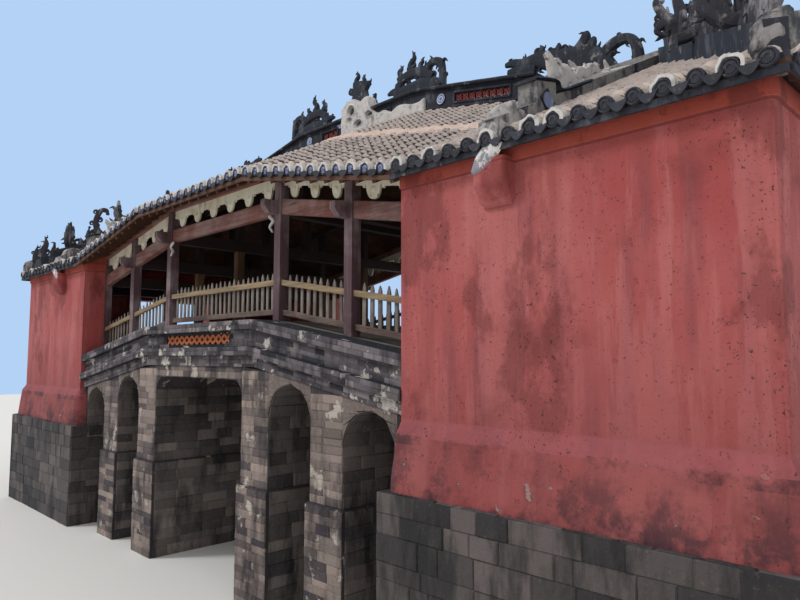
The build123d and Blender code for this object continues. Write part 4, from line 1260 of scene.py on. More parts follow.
@dataclass
class PlasterSkin:
    """The red plaster of the pavilions: a hand-trowelled skin with a battered plinth, soft at its edges."""

    shoulder: float = 0.13
    plinth_step: float = 0.07
    batter: float = 0.06
    doorway_half: float = 1.2
    thickness: float = 0.006
    step: float = 0.045
    corner_radius: float = 0.05
    corner_steps: int = 6
    corbel_width: float = 0.4
    corbel_height: float = 0.42
    corbel_step: float = 0.19

    def reach(self, z: Array) -> Array:
        """How far the skin stands out at a level: the batter, sloped shoulder, face and cornice."""
        cornice = LINES.wall_crown - LINES.cornice_height
        levels = [LINES.footing_top, LINES.plinth_top - self.shoulder, LINES.plinth_top, cornice - 0.012,
                  cornice, LINES.wall_crown]
        reaches = [self.plinth_step + self.batter, self.plinth_step, 0, 0, LINES.cornice_step,
                   LINES.cornice_step]
        return np.interp(z, levels, reaches)

    def plan(self) -> tuple[Array, Array]:
        """The skin's line in plan, from the wall's inner end round two corners to the doorway.

        Corners are quarter circles. The line is given as even steps of length.

        Returns:
            Places and outward directions, both (N, 3), for the corner on the positive sides.
        """
        inner, outer, face = LINES.span_half, LINES.pavilion_end, LINES.wall_face
        corners = np.array([(inner, LINES.half_width), (inner, face), (outer, face),
                            (outer, self.doorway_half)])
        places, outs = [corners[0]], [np.array((-1.0, 0.0))]
        ways = unit(np.diff(corners, axis=0))
        for corner, before, after in zip(corners[1:], ways, ways[1:]):
            centre = corner + (after - before) * self.corner_radius
            for turn in np.linspace(0, np.pi / 2, self.corner_steps):
                out = before * math.sin(turn) - after * math.cos(turn)
                places.append(centre + out * self.corner_radius)
                outs.append(out)
        places.append(corners[3])
        outs.append(np.array((1.0, 0.0)))
        both = np.concatenate([places, outs], axis=1)
        lengths = np.concatenate([[0], np.cumsum(np.linalg.norm(np.diff(both[:, :2], axis=0), axis=1))])
        even = np.unique(np.concatenate([lengths, np.arange(0, lengths[-1], self.step)]))
        x, y, out_x, out_y = (np.interp(even, lengths, values) for values in both.T)
        return grid(x, y, 0), unit(grid(out_x, out_y, 0))

    def build(self) -> None:
        """Trowel the four corners of both pavilions."""
        piece = Piece("plaster_skin", "plaster", PLASTER, 50)
        shoulder, cornice = LINES.plinth_top - self.shoulder, LINES.wall_crown - LINES.cornice_height
        knots = [LINES.footing_top, shoulder - 0.02, shoulder + 0.02, LINES.plinth_top - 0.02,
                 LINES.plinth_top + 0.02, cornice - 0.015, cornice + 0.003, cornice + 0.012, LINES.wall_crown]
        z = np.unique(np.concatenate([knots, np.arange(LINES.footing_top, LINES.wall_crown, self.step)]))
        line, out = self.plan()
        for sign_x, sign_y in CORNERS:
            mirror = (sign_x, sign_y, 1)
            base = line * mirror + UP * z[:, None, None]
            uneven = ripple(base, 0.9, 5) * 0.006 + ripple(base, 0.28, 6) * 0.0025
            lumpy = np.where(base[..., 2] < LINES.plinth_top, ripple(base, 0.4, 7) * 0.006, 0)
            stand = self.reach(z)[:, None] + self.thickness + uneven * 0.7 + np.abs(lumpy)
            piece.add(base + out * mirror * stand[..., None], 0.5, (sign_x * 0.7, sign_y, 0))
        piece.place()
        Painter.dress(PLASTER, "side_walls_east", "side_walls_west", "doorway_jambs", "doorway_heads")
        self.corbels()

    def corbels(self) -> None:
        """Plastered brackets with soft edges: a rounded box in plan, whose reach grows up to its middle."""
        piece = Piece("soft_corbels", "plaster", PLASTER, 50)
        bedded = 0.03
        level = np.linspace(0, 1, 19)[:, None]
        top = LINES.wall_crown - LINES.cornice_height + bedded
        reach = self.corbel_step * np.clip(1.9 - level * 1.75, 0.12, 1) ** 0.75
        wide, out = squared(np.linspace(0, np.pi, 25), 0.3)
        size = np.where(level > 0.93, 0.86, 1.0)
        for sign_x, sign_y in CORNERS:
            x = sign_x * LINES.verge_x + wide * self.corbel_width / 2 * size
            y = sign_y * (LINES.wall_face - bedded + out * (reach + bedded))
            rows = grid(x, y, top - level * (self.corbel_height + bedded))
            rows = rows + ripple(rows, 0.25, 9)[..., None] * (0.003, 0.004, 0)
            cap = np.broadcast_to(rows.mean(axis=1)[[0, -1], None], rows[[0, -1]].shape)
            piece.add(np.concatenate([cap[:1], rows, cap[1:]]), 0.5, (0, sign_y, 0))
        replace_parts(piece.place(), "wall_corbels")


@dataclass
class PicketRailings:
    """Railings between the posts: hand-cut pointed pickets on a bottom rail, behind a tan top rail."""

    rail_height: float = 0.085
    rail_thickness: float = 0.05
    rail_rise: float = 0.09
    top_rise: float = 0.62
    picket_width: float = 0.064
    picket_thickness: float = 0.024
    pitch: float = 0.145
    tip: float = 0.075
    above: float = 0.11
    picket_y: float = 3.107
    top_rail_y: float = 3.144
    outer_post: float = 3.44

    @staticmethod
    def eased_section(wide: float, high: float) -> Array:
        """A rectangle with its corners cut, as shares of its half sizes that the cuts leave."""
        return np.array([(-1, -high), (-wide, -1), (wide, -1), (1, -high), (1, high), (wide, 1), (-wide, 1),
                         (-1, high), (-1, -high)])

    def bays(self) -> list[tuple[float, float]]:
        """The clear bays between the outer posts, from west to east."""
        half = LINES.post_half
        outer = LINES.span_half + half
        middles = (-outer, -self.outer_post, -LINES.flat_half, LINES.flat_half, self.outer_post, outer)
        return [(low + half, high - half) for low, high in zip(middles, middles[1:])]

    def pickets(self, low: float, high: float, sign: int, random: np.random.Generator) -> Array:
        """Pickets of one bay: an eased rectangle carried up, narrowed to a point and leaning a little."""
        count = max(2, round((high - low) / self.pitch) - 1)
        x = low + (high - low) / (count + 1) * (np.arange(count) + 1)
        deck = LINES.deck_top - drop(x, LINES.deck_fall)
        foot = deck + self.rail_rise + self.rail_height / 2
        top = deck + self.top_rise + self.above + random.uniform(-0.022, 0.012, count)
        shoulder = top - self.tip * random.uniform(0.8, 1.2, count)
        levels = np.stack([foot, foot, foot + 0.2, shoulder - 0.02, shoulder, top - 0.012, top, top], -1)
        swell = np.array([0.0, 1.0, 1.04, 1.0, 0.94, 0.3, 0.08, 0.0])[:, None]
        thick = np.array([0.0, 1.0, 1.0, 1.0, 1.0, 0.8, 0.7, 0.0])[:, None]
        turns = self.eased_section(0.8, 0.7)
        wide = self.picket_width / 2 * random.uniform(0.84, 1.14, count)[:, None, None]
        lean = random.normal(0, 0.012, count)[:, None, None]
        z = levels[..., None]
        tilt = lean * (z - foot[:, None, None])
        return grid(x[:, None, None] + turns[:, 0] * swell * wide + tilt,
                    sign * self.picket_y + turns[:, 1] * thick * self.picket_thickness / 2, z)

    def rail(self, low: float, high: float, top: float, y: float) -> Array:
        """One rail that follows the camber: an eased rectangle carried along, closed at both ends."""
        x, size = capped(np.linspace(low, high, 9))
        turns = self.eased_section(0.8, 0.8)
        middle = top - self.rail_height / 2 - drop(x, LINES.deck_fall)
        section = turns[None] * size[:, None, None] * (self.rail_thickness / 2, self.rail_height / 2)
        places = grid(x[:, None], y + section[..., 0], middle[:, None] + section[..., 1])
        return places + ripple(places, 0.5, 11)[..., None] * (0, 0.002, 0.003)

    def build(self) -> None:
        """Make the railings of both sides."""
        random = np.random.default_rng(SEED + 2)
        kinds = {"pickets": PICKET_WOOD, "foot_rails": FOOT_RAIL_WOOD, "top_rails": RAIL_WOOD}
        foot = LINES.deck_top + self.rail_rise + self.rail_height
        top = LINES.deck_top + self.top_rise
        for side, sign in zip(("front", "back"), SIDES):
            made: dict[str, list[Piece]] = {}
            for name, (low, high) in zip(("west", "west", "centre", "east", "east"), self.bays()):
                if name not in made:
                    made[name] = [Piece(f"{kind}_{side}_{name}", "railing_wood", finish, 30)
                                  for kind, finish in kinds.items()]
                stakes, foot_rail, top_rail = made[name]
                grids = self.pickets(low, high, sign, random)
                stakes.add(grids, random.uniform(0, 1, len(grids)))
                foot_rail.add(self.rail(low, high, foot, sign * (LINES.half_width - LINES.post_half)), 0.3)
                top_rail.add(self.rail(low, high, top, sign * self.top_rail_y), 0.7)
            for name, pieces in made.items():
                placed = [piece.place(weld=True) for piece in pieces]
                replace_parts(placed[0], f"railing_{side}_{name}")


Stroke = tuple[Point, ...]

# Outlines of the crests in millimetres: along the ridge, above it, and half the limb's width
CENTRE_STROKES: tuple[Stroke, ...] = (
    ((-450, 40, 100), (0, 120, 170), (450, 30, 100)),
    ((0, -60, 300), (0, 350, 270), (0, 600, 190), (0, 720, 90)),
    ((-50, 600, 110), (-120, 780, 55), (-55, 870, 40), (-100, 990, 0)),
    ((90, 600, 90), (130, 720, 50), (110, 780, 35), (160, 850, 0)),
    ((-100, 500, 90), (-270, 590, 75), (-340, 550, 35)),
    ((100, 500, 90), (240, 620, 65), (310, 580, 30)),
    ((-360, 60, 90), (-410, 240, 55), (-370, 320, 40), (-430, 420, 0)),
    ((360, 60, 90), (420, 220, 55), (480, 350, 20)),
)
DRAGON_STROKES: tuple[Stroke, ...] = (
    ((850, 200, 30), (1000, 210, 70), (1150, 150, 110), (1400, 120, 140), (1750, 120, 150),
     (2050, 60, 150), (2300, -40, 90)),
    ((1120, 150, 90), (1240, 370, 90), (1500, 430, 105), (1800, 370, 105), (2050, 200, 100)),
    ((1250, 400, 80), (1170, 560, 50), (1230, 620, 35), (1200, 700, 0)),
    ((1510, 450, 95), (1470, 620, 60), (1570, 730, 45), (1520, 885, 0)),
    ((1780, 400, 80), (1730, 530, 50), (1790, 590, 35), (1740, 650, 0)),
    ((1900, 300, 70), (1970, 450, 70), (2110, 490, 70), (2250, 410, 75), (2290, 200, 70), (2280, -60, 85)),
    ((1070, 220, 50), (1090, 310, 30), (1070, 370, 0)),
)
PAVILION_STROKES: tuple[Stroke, ...] = (
    ((3710, 700, 40), (3860, 690, 70), (4060, 620, 90), (4350, 590, 130), (4750, 440, 200),
     (5150, 280, 290), (5450, 100, 230), (5650, -20, 120)),
    ((3760, 560, 50), (4000, 520, 110), (4300, 450, 150)),
    ((5000, 400, 150), (5150, 590, 100), (5200, 690, 75), (5215, 760, 30)),
    ((4380, 650, 90), (4420, 760, 45), (4380, 830, 0)),
    ((4680, 540, 90), (4720, 660, 60), (4730, 740, 20)),
    ((4880, 480, 80), (4925, 600, 35), (4900, 650, 0)),
    ((5230, 430, 100), (5310, 570, 65), (5340, 630, 25)),
    ((5380, 120, 120), (5510, 330, 100), (5700, 430, 90), (5890, 410, 70), (5990, 250, 80), (6020, -50, 100)),
)
SCROLL_STROKES: tuple[Stroke, ...] = (
    ((2450, 150, 90), (2600, 420, 70), (2680, 620, 50), (2740, 730, 20)),
    ((2560, 120, 110), (2420, 390, 135), (2270, 310, 120), (2080, 130, 110)),
    ((2250, 200, 90), (2110, 360, 75), (1950, 320, 80), (1800, 360, 70), (1620, 270, 50)),
    ((2420, 180, 100), (1900, 190, 100), (1400, 180, 80), (900, 150, 80), (500, 90, 100)),
)
CORNER_STROKES: tuple[Stroke, ...] = (
    ((260, 150, 150), (150, 440, 110), (60, 620, 90), (90, 810, 30)),
    ((200, 200, 110), (700, 350, 165), (1200, 380, 150), (1650, 260, 110)),
    ((1080, 330, 150), (1150, 550, 100), (1200, 700, 30)),
    ((1450, 300, 110), (1740, 480, 85), (1990, 500, 75), (2160, 540, 20)),
    ((2080, 150, 130), (2150, 500, 120), (2290, 790, 100), (2330, 1000, 40)),
    ((2480, 150, 130), (2740, 480, 85), (2820, 790, 75), (2710, 1030, 65), (2560, 990, 50), (2540, 860, 35)),
    ((2800, 180, 110), (3100, 240, 110), (3400, 250, 110), (3720, 280, 110)),
    ((2930, 260, 100), (3000, 500, 60), (2960, 720, 0)),
    ((3340, 260, 100), (3450, 550, 70), (3400, 700, 45), (3430, 880, 0)),
    ((3790, 150, 110), (3820, 400, 70), (3780, 600, 0)),
    ((3990, 150, 130), (4080, 450, 95), (4000, 650, 60), (4050, 880, 0)),
    ((4210, 150, 110), (4250, 450, 65), (4200, 700, 0)),
)
# Leaves across a hip: how far down it in millimetres, and their strokes across it
HIP_LEAVES: tuple[tuple[float, tuple[Stroke, ...]], ...] = (
    (1000, (((0, -60, 150), (-10, 130, 120), (-80, 250, 90), (-190, 290, 70), (-270, 210, 40),
             (-210, 150, 25)),
            ((-90, 200, 90), (-190, 400, 62), (-265, 560, 50), (-250, 640, 22)),
            ((-10, 180, 90), (10, 420, 75), (-30, 600, 55), (-10, 690, 18)),
            ((40, 60, 110), (180, 200, 75), (270, 380, 60), (230, 520, 48), (130, 500, 38), (110, 410, 25)),
            ((180, 420, 60), (270, 560, 40), (330, 640, 10)))),
    (2300, (((-300, 20, 60), (-160, 60, 60), (-20, 210, 60), (60, 430, 58), (110, 700, 55), (170, 930, 40)),
            ((40, -40, 190), (60, 120, 170), (90, 330, 120), (130, 520, 70)),
            ((150, 560, 60), (290, 640, 55), (330, 800, 40), (250, 850, 28)))),
    (3450, (((-330, 420, 45), (-290, 230, 60), (-120, 100, 75), (80, 90, 80), (260, 190, 60), (330, 330, 40)),
            ((-150, 130, 90), (-200, 420, 70), (-130, 600, 55), (-40, 520, 40), (-80, 440, 25)),
            ((60, 100, 100), (130, 380, 75), (70, 640, 50), (100, 780, 12)),
            ((160, 180, 80), (270, 430, 60), (340, 600, 40), (270, 690, 25)))),
)


def metres(strokes: tuple[Stroke, ...], fall: float = 0.0) -> list[Array]:
    """Strokes given in millimetres over a level line, as metres over one that falls by a share."""
    lines = [np.array(stroke) / 1000 for stroke in strokes]
    for line in lines:
        line[:, 1] -= fall * line[:, 0]
    return lines


def eased(points: Array, steps: int = 5) -> Array:
    """A smooth line through given points: between two of them a cubic whose ends lean on the next ones.

    Args:
        points: Places as (N, values).
        steps: Steps between two points.

    Returns:
        The line, as (steps times N - 1, plus one, values).
    """
    points = np.asarray(points, float)
    padded = np.concatenate([2 * points[:1] - points[1:2], points, 2 * points[-1:] - points[-2:-1]])
    t = np.linspace(0, len(points) - 1, (len(points) - 1) * steps + 1)
    index = np.minimum(t.astype(int), len(points) - 2)
    u = (t - index)[:, None]
    a, b, c, d = (padded[index + k] for k in range(4))
    return b + 0.5 * u * (c - a + u * (2 * a - 5 * b + 4 * c - d + u * (3 * (b - c) + d - a)))


def left_of(ways: Array) -> Array:
    """Flat directions turned a quarter to the left."""
    return np.stack([-ways[:, 1], ways[:, 0]], -1)


@dataclass(frozen=True)
class CarvingPlane:
    """An upright plane that a crest stands on: a place along it, a height and a stand-out make a point."""

    origin: Point
    along: Point

    def points(self, place: Array, height: Array, out: Array) -> Array:
        """Points in space from places along the plane, heights and distances out of it."""
        along = np.asarray(self.along, float)
        spot = (np.asarray(self.origin) + place[..., None] * along + height[..., None] * UP
                + out[..., None] * np.cross(along, UP))
        spot[..., 2] = np.minimum(spot[..., 2], CAD_BOX[1].z)
        return spot


@dataclass
class CrestCarver:
    """Carves crests from strokes: limbs with a groove along them, set with curls and flames."""

    half_thickness: float = 0.07
    groove: float = 0.4
    curl_turns: float = 1.2
    curled_share: float = 0.55
    spacing: float = 0.13
    random: np.random.Generator = field(default_factory=lambda: np.random.default_rng(SEED + 7))

    def limbs(self, lines: Array, plane: CarvingPlane, sides: int, deep: float = 1.0) -> Array:
        """Limbs along lines of place, height and reach.

        A limb's section is an oval across its line. Its depth follows its reach up to half the crest's
        thickness, and dips by the groove in the middle of each face. Both ends close in a point.
        """
        lines = np.asarray(lines, float)
        way = np.gradient(lines[..., :2], axis=-2)
        way /= np.maximum(np.linalg.norm(way, axis=-1, keepdims=True), 1e-9)
        lines, way = (np.concatenate([line[..., :1, :], line, line[..., -1:, :]], axis=-2)
                      for line in (lines, way))
        reach = np.maximum(lines[..., 2], 0.004)
        reach[..., 0] = reach[..., -1] = 0
        turn = np.linspace(0, FULL_TURN, sides + 1)
        wide, _ = squared(turn, 0.8)
        depth = np.sin(turn) * (1 - self.groove * np.exp(-(wide / 0.3) ** 2))
        half = np.minimum(self.half_thickness, reach * 0.8 + 0.01) * (reach > 0) * deep
        side = wide * reach[..., None]
        place = lines[..., 0, None] - way[..., 1, None] * side
        height = lines[..., 1, None] + way[..., 0, None] * side
        return plane.points(place, height, depth * half[..., None])

    def curls(self, starts: Array, ways: Array, sizes: Array, hands: Array) -> Array:
        """Lines of spiral curls: an angle grows along each while its distance from the middle shrinks."""
        t = np.linspace(0, 1, 13)
        wound = np.pi / 2 - FULL_TURN * self.curl_turns * t
        angle = np.arctan2(ways[:, 1], ways[:, 0])[:, None] - hands[:, None] * wound
        middle = starts + left_of(ways) * (hands * sizes)[:, None]
        radius = sizes[:, None] * (1 - 0.8 * t)
        reach = sizes[:, None] * (0.46 - 0.26 * t)
        return grid(middle[:, :1] + radius * np.cos(angle), middle[:, 1:] + radius * np.sin(angle), reach)

    def flames(self, starts: Array, ways: Array, sizes: Array, hands: Array) -> Array:
        """Lines of flames: each runs out, sways to one side and back, and thins to its tip."""
        t = np.linspace(0, 1, 7)
        side = left_of(ways) * hands[:, None]
        run = sizes[:, None, None] * 2.5
        places = (starts[:, None] + ways[:, None] * (run * t[:, None])
                  + side[:, None] * (run * 0.3 * np.sin(t * 4.4)[:, None]))
        reach = sizes[:, None] * 0.8 * (1 - t) ** 0.7
        return np.concatenate([places, reach[..., None]], -1)

    def carve(self, piece: Piece, plane: CarvingPlane, strokes: list[Array], base: Callable[[Array], Array],
              grow: float = 1.0) -> None:
        """Carve one crest.

        Args:
            piece: The piece that it goes to.
            plane: The plane that it stands on.
            strokes: Each a list of place, height and reach.
            base: The level of the ridge under it, at places along the plane.
            grow: How large its curls and flames are.
        """
        sprouts = []
        for number, stroke in enumerate(strokes):
            line = eased(stroke)
            line[:, 2] = np.maximum(line[:, 2], 0.0)
            piece.add(self.limbs(line, plane, 14, 1 - 0.03 * (number % 5)), self.random.uniform(0, 1))
            length = np.concatenate([[0], np.cumsum(np.linalg.norm(np.diff(line[:, :2], axis=0), axis=1))])
            count = max(1, int(length[-1] / self.spacing))
            spots = (np.arange(count) + 0.6) / count * length[-1]
            at = np.stack([np.interp(spots, length, line[:, i]) for i in range(3)], -1)
            way = unit(np.stack([np.interp(spots, length, np.gradient(line[:, i])) for i in (0, 1)], -1))
            hand = np.where((np.arange(count) + number) % 2 == 0, 1.0, -1.0)
            out = left_of(way) * hand[:, None]
            size = np.clip(at[:, 2] * 0.5, 0.02, 0.052) * grow * self.random.uniform(0.8, 1.25, count)
            sprouts.append((at[:, :2] + out * at[:, 2:] * 0.8, unit(0.9 * out + 0.55 * way), size,
                            hand * self.random.choice([-1.0, 1.0], count)))
        start, *rest = (np.concatenate(values) for values in zip(*sprouts))
        free = start[:, 1] > base(start[:, 0]) + 0.03
        grown = [values[free] for values in (start, *rest)]
        curled = self.random.random(len(grown[0])) < self.curled_share
        for lines, chosen, sides in ((self.curls, curled, 8), (self.flames, ~curled, 6)):
            if chosen.any():
                grids = self.limbs(lines(*(values[chosen] for values in grown)), plane, sides)
                piece.add(grids, self.random.uniform(0, 1, len(grids)))


@dataclass
class RoofCrests:
    """The carved crests of the roof, on the ridges, the verges and the hips."""

    verge_height: float = 0.22
    verge_growth: float = 1.25
    hip_height: float = 0.26
    hip_growth: float = 1.6
    leaf_growth: float = 1.3
    end_stone: float = 4.325
    end_stone_rise: float = 0.1
    end_stone_half: Point = (0.155, 0.17, 0.22)
    carver: CrestCarver = field(default_factory=CrestCarver)

    def ridges(self) -> None:
        """The crest over the middle of the bridge, the dragons beside it, and those over the pavilions."""
        for name, strokes, level, ways, node in (
                ("centre", CENTRE_STROKES, LINES.ridge_top, (1,), "centre_crest"),
                ("dragon", DRAGON_STROKES, LINES.ridge_top, SIDES, "dragon_crests"),
                ("pavilion", PAVILION_STROKES, LINES.end_crown, SIDES, "pavilion_crests")):
            def crown(x: Array, level: float = level) -> Array:
                """How far the ridge's crown lies above the plane's level."""
                long_ridge = LINES.ridge_top - drop(x, LINES.roof_fall)
                return np.where(np.abs(x) < LINES.ridge_reach, long_ridge, LINES.end_crown) - level
            piece = Piece(f"{name}_crest_carving", "lime_mortar", DARK_MORTAR)
            for sign in ways:
                self.carver.carve(piece, CarvingPlane((0, 0, level), (sign, 0, 0)), metres(strokes), crown)
            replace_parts(piece.place(), node)

    def verges(self) -> None:
        """Scrolls that climb the verges of the pavilions."""
        piece = Piece("verge_scroll_carving", "lime_mortar", PALE_MORTAR)
        strokes = metres(SCROLL_STROKES, LINES.pitch)
        for sign_x, sign_y in CORNERS:
            plane = CarvingPlane((sign_x * LINES.verge_x, 0, LINES.slope_top), (0, sign_y, 0))
            self.carver.carve(piece, plane, strokes, lambda y: self.verge_height - LINES.pitch * y,
                              self.verge_growth)
        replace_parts(piece.place(), "verge_scrolls")

    def hips(self) -> None:
        """Crests along the hips with leaves across them, and a rough stone at the foot of each."""
        corners = Piece("corner_crest_carving", "lime_mortar", HIP_MORTAR)
        ends = Piece("hip_end_stones", "lime_mortar", GREY_MORTAR, 60)
        flat = CrestCarver(half_thickness=0.05)
        out = LINES.eave_x - LINES.ridge_end
        run = math.hypot(out, LINES.eave_y)
        fall = LINES.eave_y * LINES.pitch / run
        strokes = metres(CORNER_STROKES, fall)
        for sign_x, sign_y in CORNERS:
            start = np.array((sign_x * LINES.ridge_end, 0, LINES.slope_top))
            along = np.array((out * sign_x / run, LINES.eave_y * sign_y / run, 0))
            across = (sign_x * abs(along[1]), -sign_y * abs(along[0]), 0)
            flat.carve(corners, CarvingPlane(start, along), strokes, lambda s: self.hip_height - fall * s,
                       self.hip_growth)
            for place, leaf in HIP_LEAVES:
                spot = start + along * place / 1000 - UP * (fall * place / 1000 - self.hip_height)
                self.carver.carve(corners, CarvingPlane(spot, across), metres(leaf), np.zeros_like,
                                  self.leaf_growth)
            spot = start + along * self.end_stone - UP * (fall * self.end_stone - self.end_stone_rise)
            ends.add(rough_stone(spot, self.end_stone_half, 43), 0.3)
        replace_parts(corners.place(), "corner_crests")
        ends.place()

    def build(self) -> None:
        """Carve them all, in this order, because they share the carver's random numbers."""
        self.ridges()
        self.verges()
        self.hips()


@dataclass
class RidgeDress:
    """What covers the long ridge: mouldings, clay grilles, porcelain discs, a cloud and lumps of lime."""

    windows: Pairs = ((-3.3, 1.18), (-0.8, 0.5), (0.8, 0.5), (3.3, 1.18))
    window_height: float = 0.15
    window_share: float = 0.6
    cap: float = 0.07
    height: float = 0.5
    ring_pitch: float = 0.148
    ring_radius: float = 0.05
    grille_y: float = 0.12
    foot_reach: float = 0.07
    foot_lump: Point = (0.085, 0.085, 0.055)
    disc_radius: float = 0.11
    discs: Pairs = ((-0.47, 8.39), (-1.52, 8.25), (2.38, 8.12), (4.16, 7.7), (-2.38, 8.12), (-4.16, 7.7))
    rim: Pairs = ((0.0, -0.02), (1.0, -0.02), (1.0, 0.012), (0.88, 0.012), (0.84, 0.0), (0.0, 0.0))
    plate: Pairs = ((0.0, -0.006), (0.85, -0.006), (0.85, 0.008), (0.7, 0.004), (0.5, 0.006), (0.3, 0.006),
                    (0.0, 0.008))
    cloud_back: float = 0.12
    cloud_waist: float = 0.62
    cloud_thickness: tuple[float, float] = (0.085, 0.05)
    cloud_top: Pairs = (
        (-0.35, 8.45), (-0.32, 8.62), (-0.25, 8.72), (-0.1, 8.78), (0.05, 8.77), (0.17, 8.68), (0.28, 8.66),
        (0.4, 8.73), (0.49, 8.7), (0.55, 8.54), (0.6, 8.41), (0.73, 8.31), (0.9, 8.31), (1.02, 8.27),
        (1.12, 8.22), (1.22, 8.26), (1.35, 8.29), (1.5, 8.27), (1.66, 8.22), (1.82, 8.22), (2.0, 8.25))
    cloud_holes: tuple[tuple[float, float, float, float], ...] = (
        (0.01, 8.52, 0.1, 0.085), (0.55, 8.31, 0.075, 0.05), (0.22, 8.21, 0.11, 0.055),
        (-0.04, 8.35, 0.05, 0.03))

    def window_middle(self, x: Array) -> Array:
        """Level of the middle of a window."""
        return LINES.ridge_seat + (self.height - self.cap) * self.window_share - drop(x, LINES.roof_fall)

    def grilles(self) -> None:
        """Rings of red clay between crossed bars, with a frame of mortar round each window."""
        clay = Piece("ridge_grilles", "lime_mortar", RED_CLAY)
        frames = Piece("ridge_window_frames", "lime_mortar", DARK_MORTAR)
        turn, small = np.linspace(0, FULL_TURN, 13), np.linspace(0, FULL_TURN, 7)
        radius = self.ring_radius + 0.013 * np.cos(small)
        ring = grid(np.outer(np.cos(turn), radius), 0.014 * np.sin(small), np.outer(np.sin(turn), radius))
        for x, width in self.windows:
            spots = spread(x - width / 2, x + width / 2, self.ring_pitch)
            half, rise = width / 2 + 0.02, self.window_height / 2 + 0.018
            for side in SIDES:
                middle = grid(spots, side * self.grille_y, self.window_middle(spots))
                clay.add(middle[:, None, None] + ring, 0.2)
                clay.add(domes(middle, (0.02, 0.014, 0.02), 8, 5), 0.5)
                for lean in (1, -1):
                    span = np.array((0.07, 0, 0.072 * lean))
                    clay.add(bars(middle - span, middle + span, 0.009, 0.01, (0, 1, 0)), 0.4)
            for side in SIDES:
                across, up = np.array([(-1, -1), (1, -1), (1, 1), (-1, 1), (-1, -1)]).T
                place = x + across * half
                corner = grid(place, side * (LINES.half_ridge + 0.004), self.window_middle(place) + up * rise)
                frames.add(bars(corner[:-1], corner[1:], 0.016, 0.016, (0, 1, 0)), 0.5)
        clay.place()
        frames.place()

    def mouldings(self) -> None:
        """Half-round mouldings under the cap and along the foot, following the roof."""
        piece = Piece("ridge_mouldings", "lime_mortar", DARK_MORTAR)
        turn = np.linspace(0, FULL_TURN, 9)
        profiles = ((0.0, self.cap + 0.015, 0.02), (0.05, self.cap / 2, 0.035), (0.0, self.cap + 0.34, 0.014))
        ends = (-LINES.ridge_reach, -LINES.flat_half, LINES.flat_half, LINES.ridge_reach)
        for low, high in zip(ends, ends[1:]):
            x, size = capped(np.linspace(low, high, 24))
            for side in SIDES:
                for out, below, radius in profiles:
                    z = LINES.ridge_seat + self.height - below - drop(x, LINES.roof_fall)
                    across, up = (np.outer(size * radius, wave) for wave in (np.cos(turn), np.sin(turn)))
                    ring = grid(x[:, None], side * (LINES.half_ridge + out) + across, z[:, None] + up)
                    piece.add(ring + ripple(ring, 0.4, 21)[..., None] * (0, 0.002, 0.003), 0.5)
        piece.place()

    def foot(self) -> None:
        """Lumps of lime along the ridge's foot, one over each row of tiles and a smaller one between two."""
        piece = Piece("ridge_foot_lime", "lime_mortar", PINK_MORTAR)
        for low, high in zip(LINES.stations, LINES.stations[1:]):
            x = spread(low, high, LINES.tile_pitch)
            for side in SIDES:
                y = side * (LINES.half_ridge + self.foot_reach)
                seat = grid(x, y, roof_level(x, y))
                lumps = domes(seat + UP * 0.03, self.foot_lump, 12, 7)
                piece.add(lumps + ripple(lumps, 0.1, 22)[..., None] * 0.008, 0.3)
                piece.add(domes(seat + (LINES.tile_pitch / 2, -side * 0.02, 0), (0.09, 0.06, 0.035)), 0.3)
        piece.place()

    def cloud(self) -> None:
        """The cloud relief: a slab whose top follows an eased outline, rounded at its rim, with hollows.

        The front of the slab stands out by its thickness less the depth of the hollows, each a smooth bowl,
        and less a rounding towards the rim. Turned half round, the slab also dresses the back of the ridge.
        """
        piece = Piece("cloud_relief", "lime_mortar", PALE_MORTAR, 60)
        # Dark pads in the cloud's hollows are painted shade, in the black tile finish.
        soot_and_painted_shade = Piece("painted_shade_in_cloud_hollows", "lime_mortar", BLACK_TILE, 60)
        top = eased(np.array(self.cloud_top), 9)
        order = np.argsort(top[:, 0])
        x = np.linspace(top[0, 0], top[-1, 0], 150)
        high = np.interp(x, top[order, 0], top[order, 1])
        low = LINES.ridge_seat - 0.06 - drop(x, LINES.roof_fall)
        z = low + (high - low) * np.linspace(0, 1, 60)[:, None] ** 0.8
        edge = np.minimum(high - z, np.minimum(x - x[0], x[-1] - x) + 0.01)
        thick = np.where(x < self.cloud_waist, *self.cloud_thickness)
        out = thick * np.clip(edge / 0.05, 0, 1) ** 0.5 + 0.02
        out = out + 0.012 * ripple(grid(x, 0, z), 0.35, 23)
        for a, b, across, up in self.cloud_holes:
            away = np.hypot((x - a) / across, (z - b) / up)
            lobe, bowl = np.exp(-((away - 1.15) / 0.28) ** 2), np.clip(1.12 - away, 0, 1) ** 0.5
            out = out + 0.025 * lobe - 0.16 * bowl
        back = LINES.half_ridge - self.cloud_back
        front, rear = (grid(x, y, z) for y in (LINES.half_ridge + out, back))
        rows = np.concatenate([front, rear[::-1], front[:1]])
        ends = rows[:, [0, -1]].copy()
        ends[..., 1] = back
        rows = np.concatenate([ends[:, :1], rows, ends[:, 1:]], axis=1)
        # Pads that fill the hollows, darkened as painted shade.
        spots = np.array([(a, LINES.half_ridge + 0.012, b) for a, b, _, _ in self.cloud_holes])
        halves = np.array([(across * 0.98, 0.062, up * 0.98) for _, _, across, up in self.cloud_holes])
        pads = domes(np.zeros_like(spots), (1, 1, 1), 14, 8) * halves[:, None, None] + spots[:, None, None]
        for turn in SIDES:
            piece.add(rows * (-turn, turn, 1), 0.4)
            soot_and_painted_shade.add(pads * (-turn, turn, 1), 0.9)
        piece.place()
        soot_and_painted_shade.place()

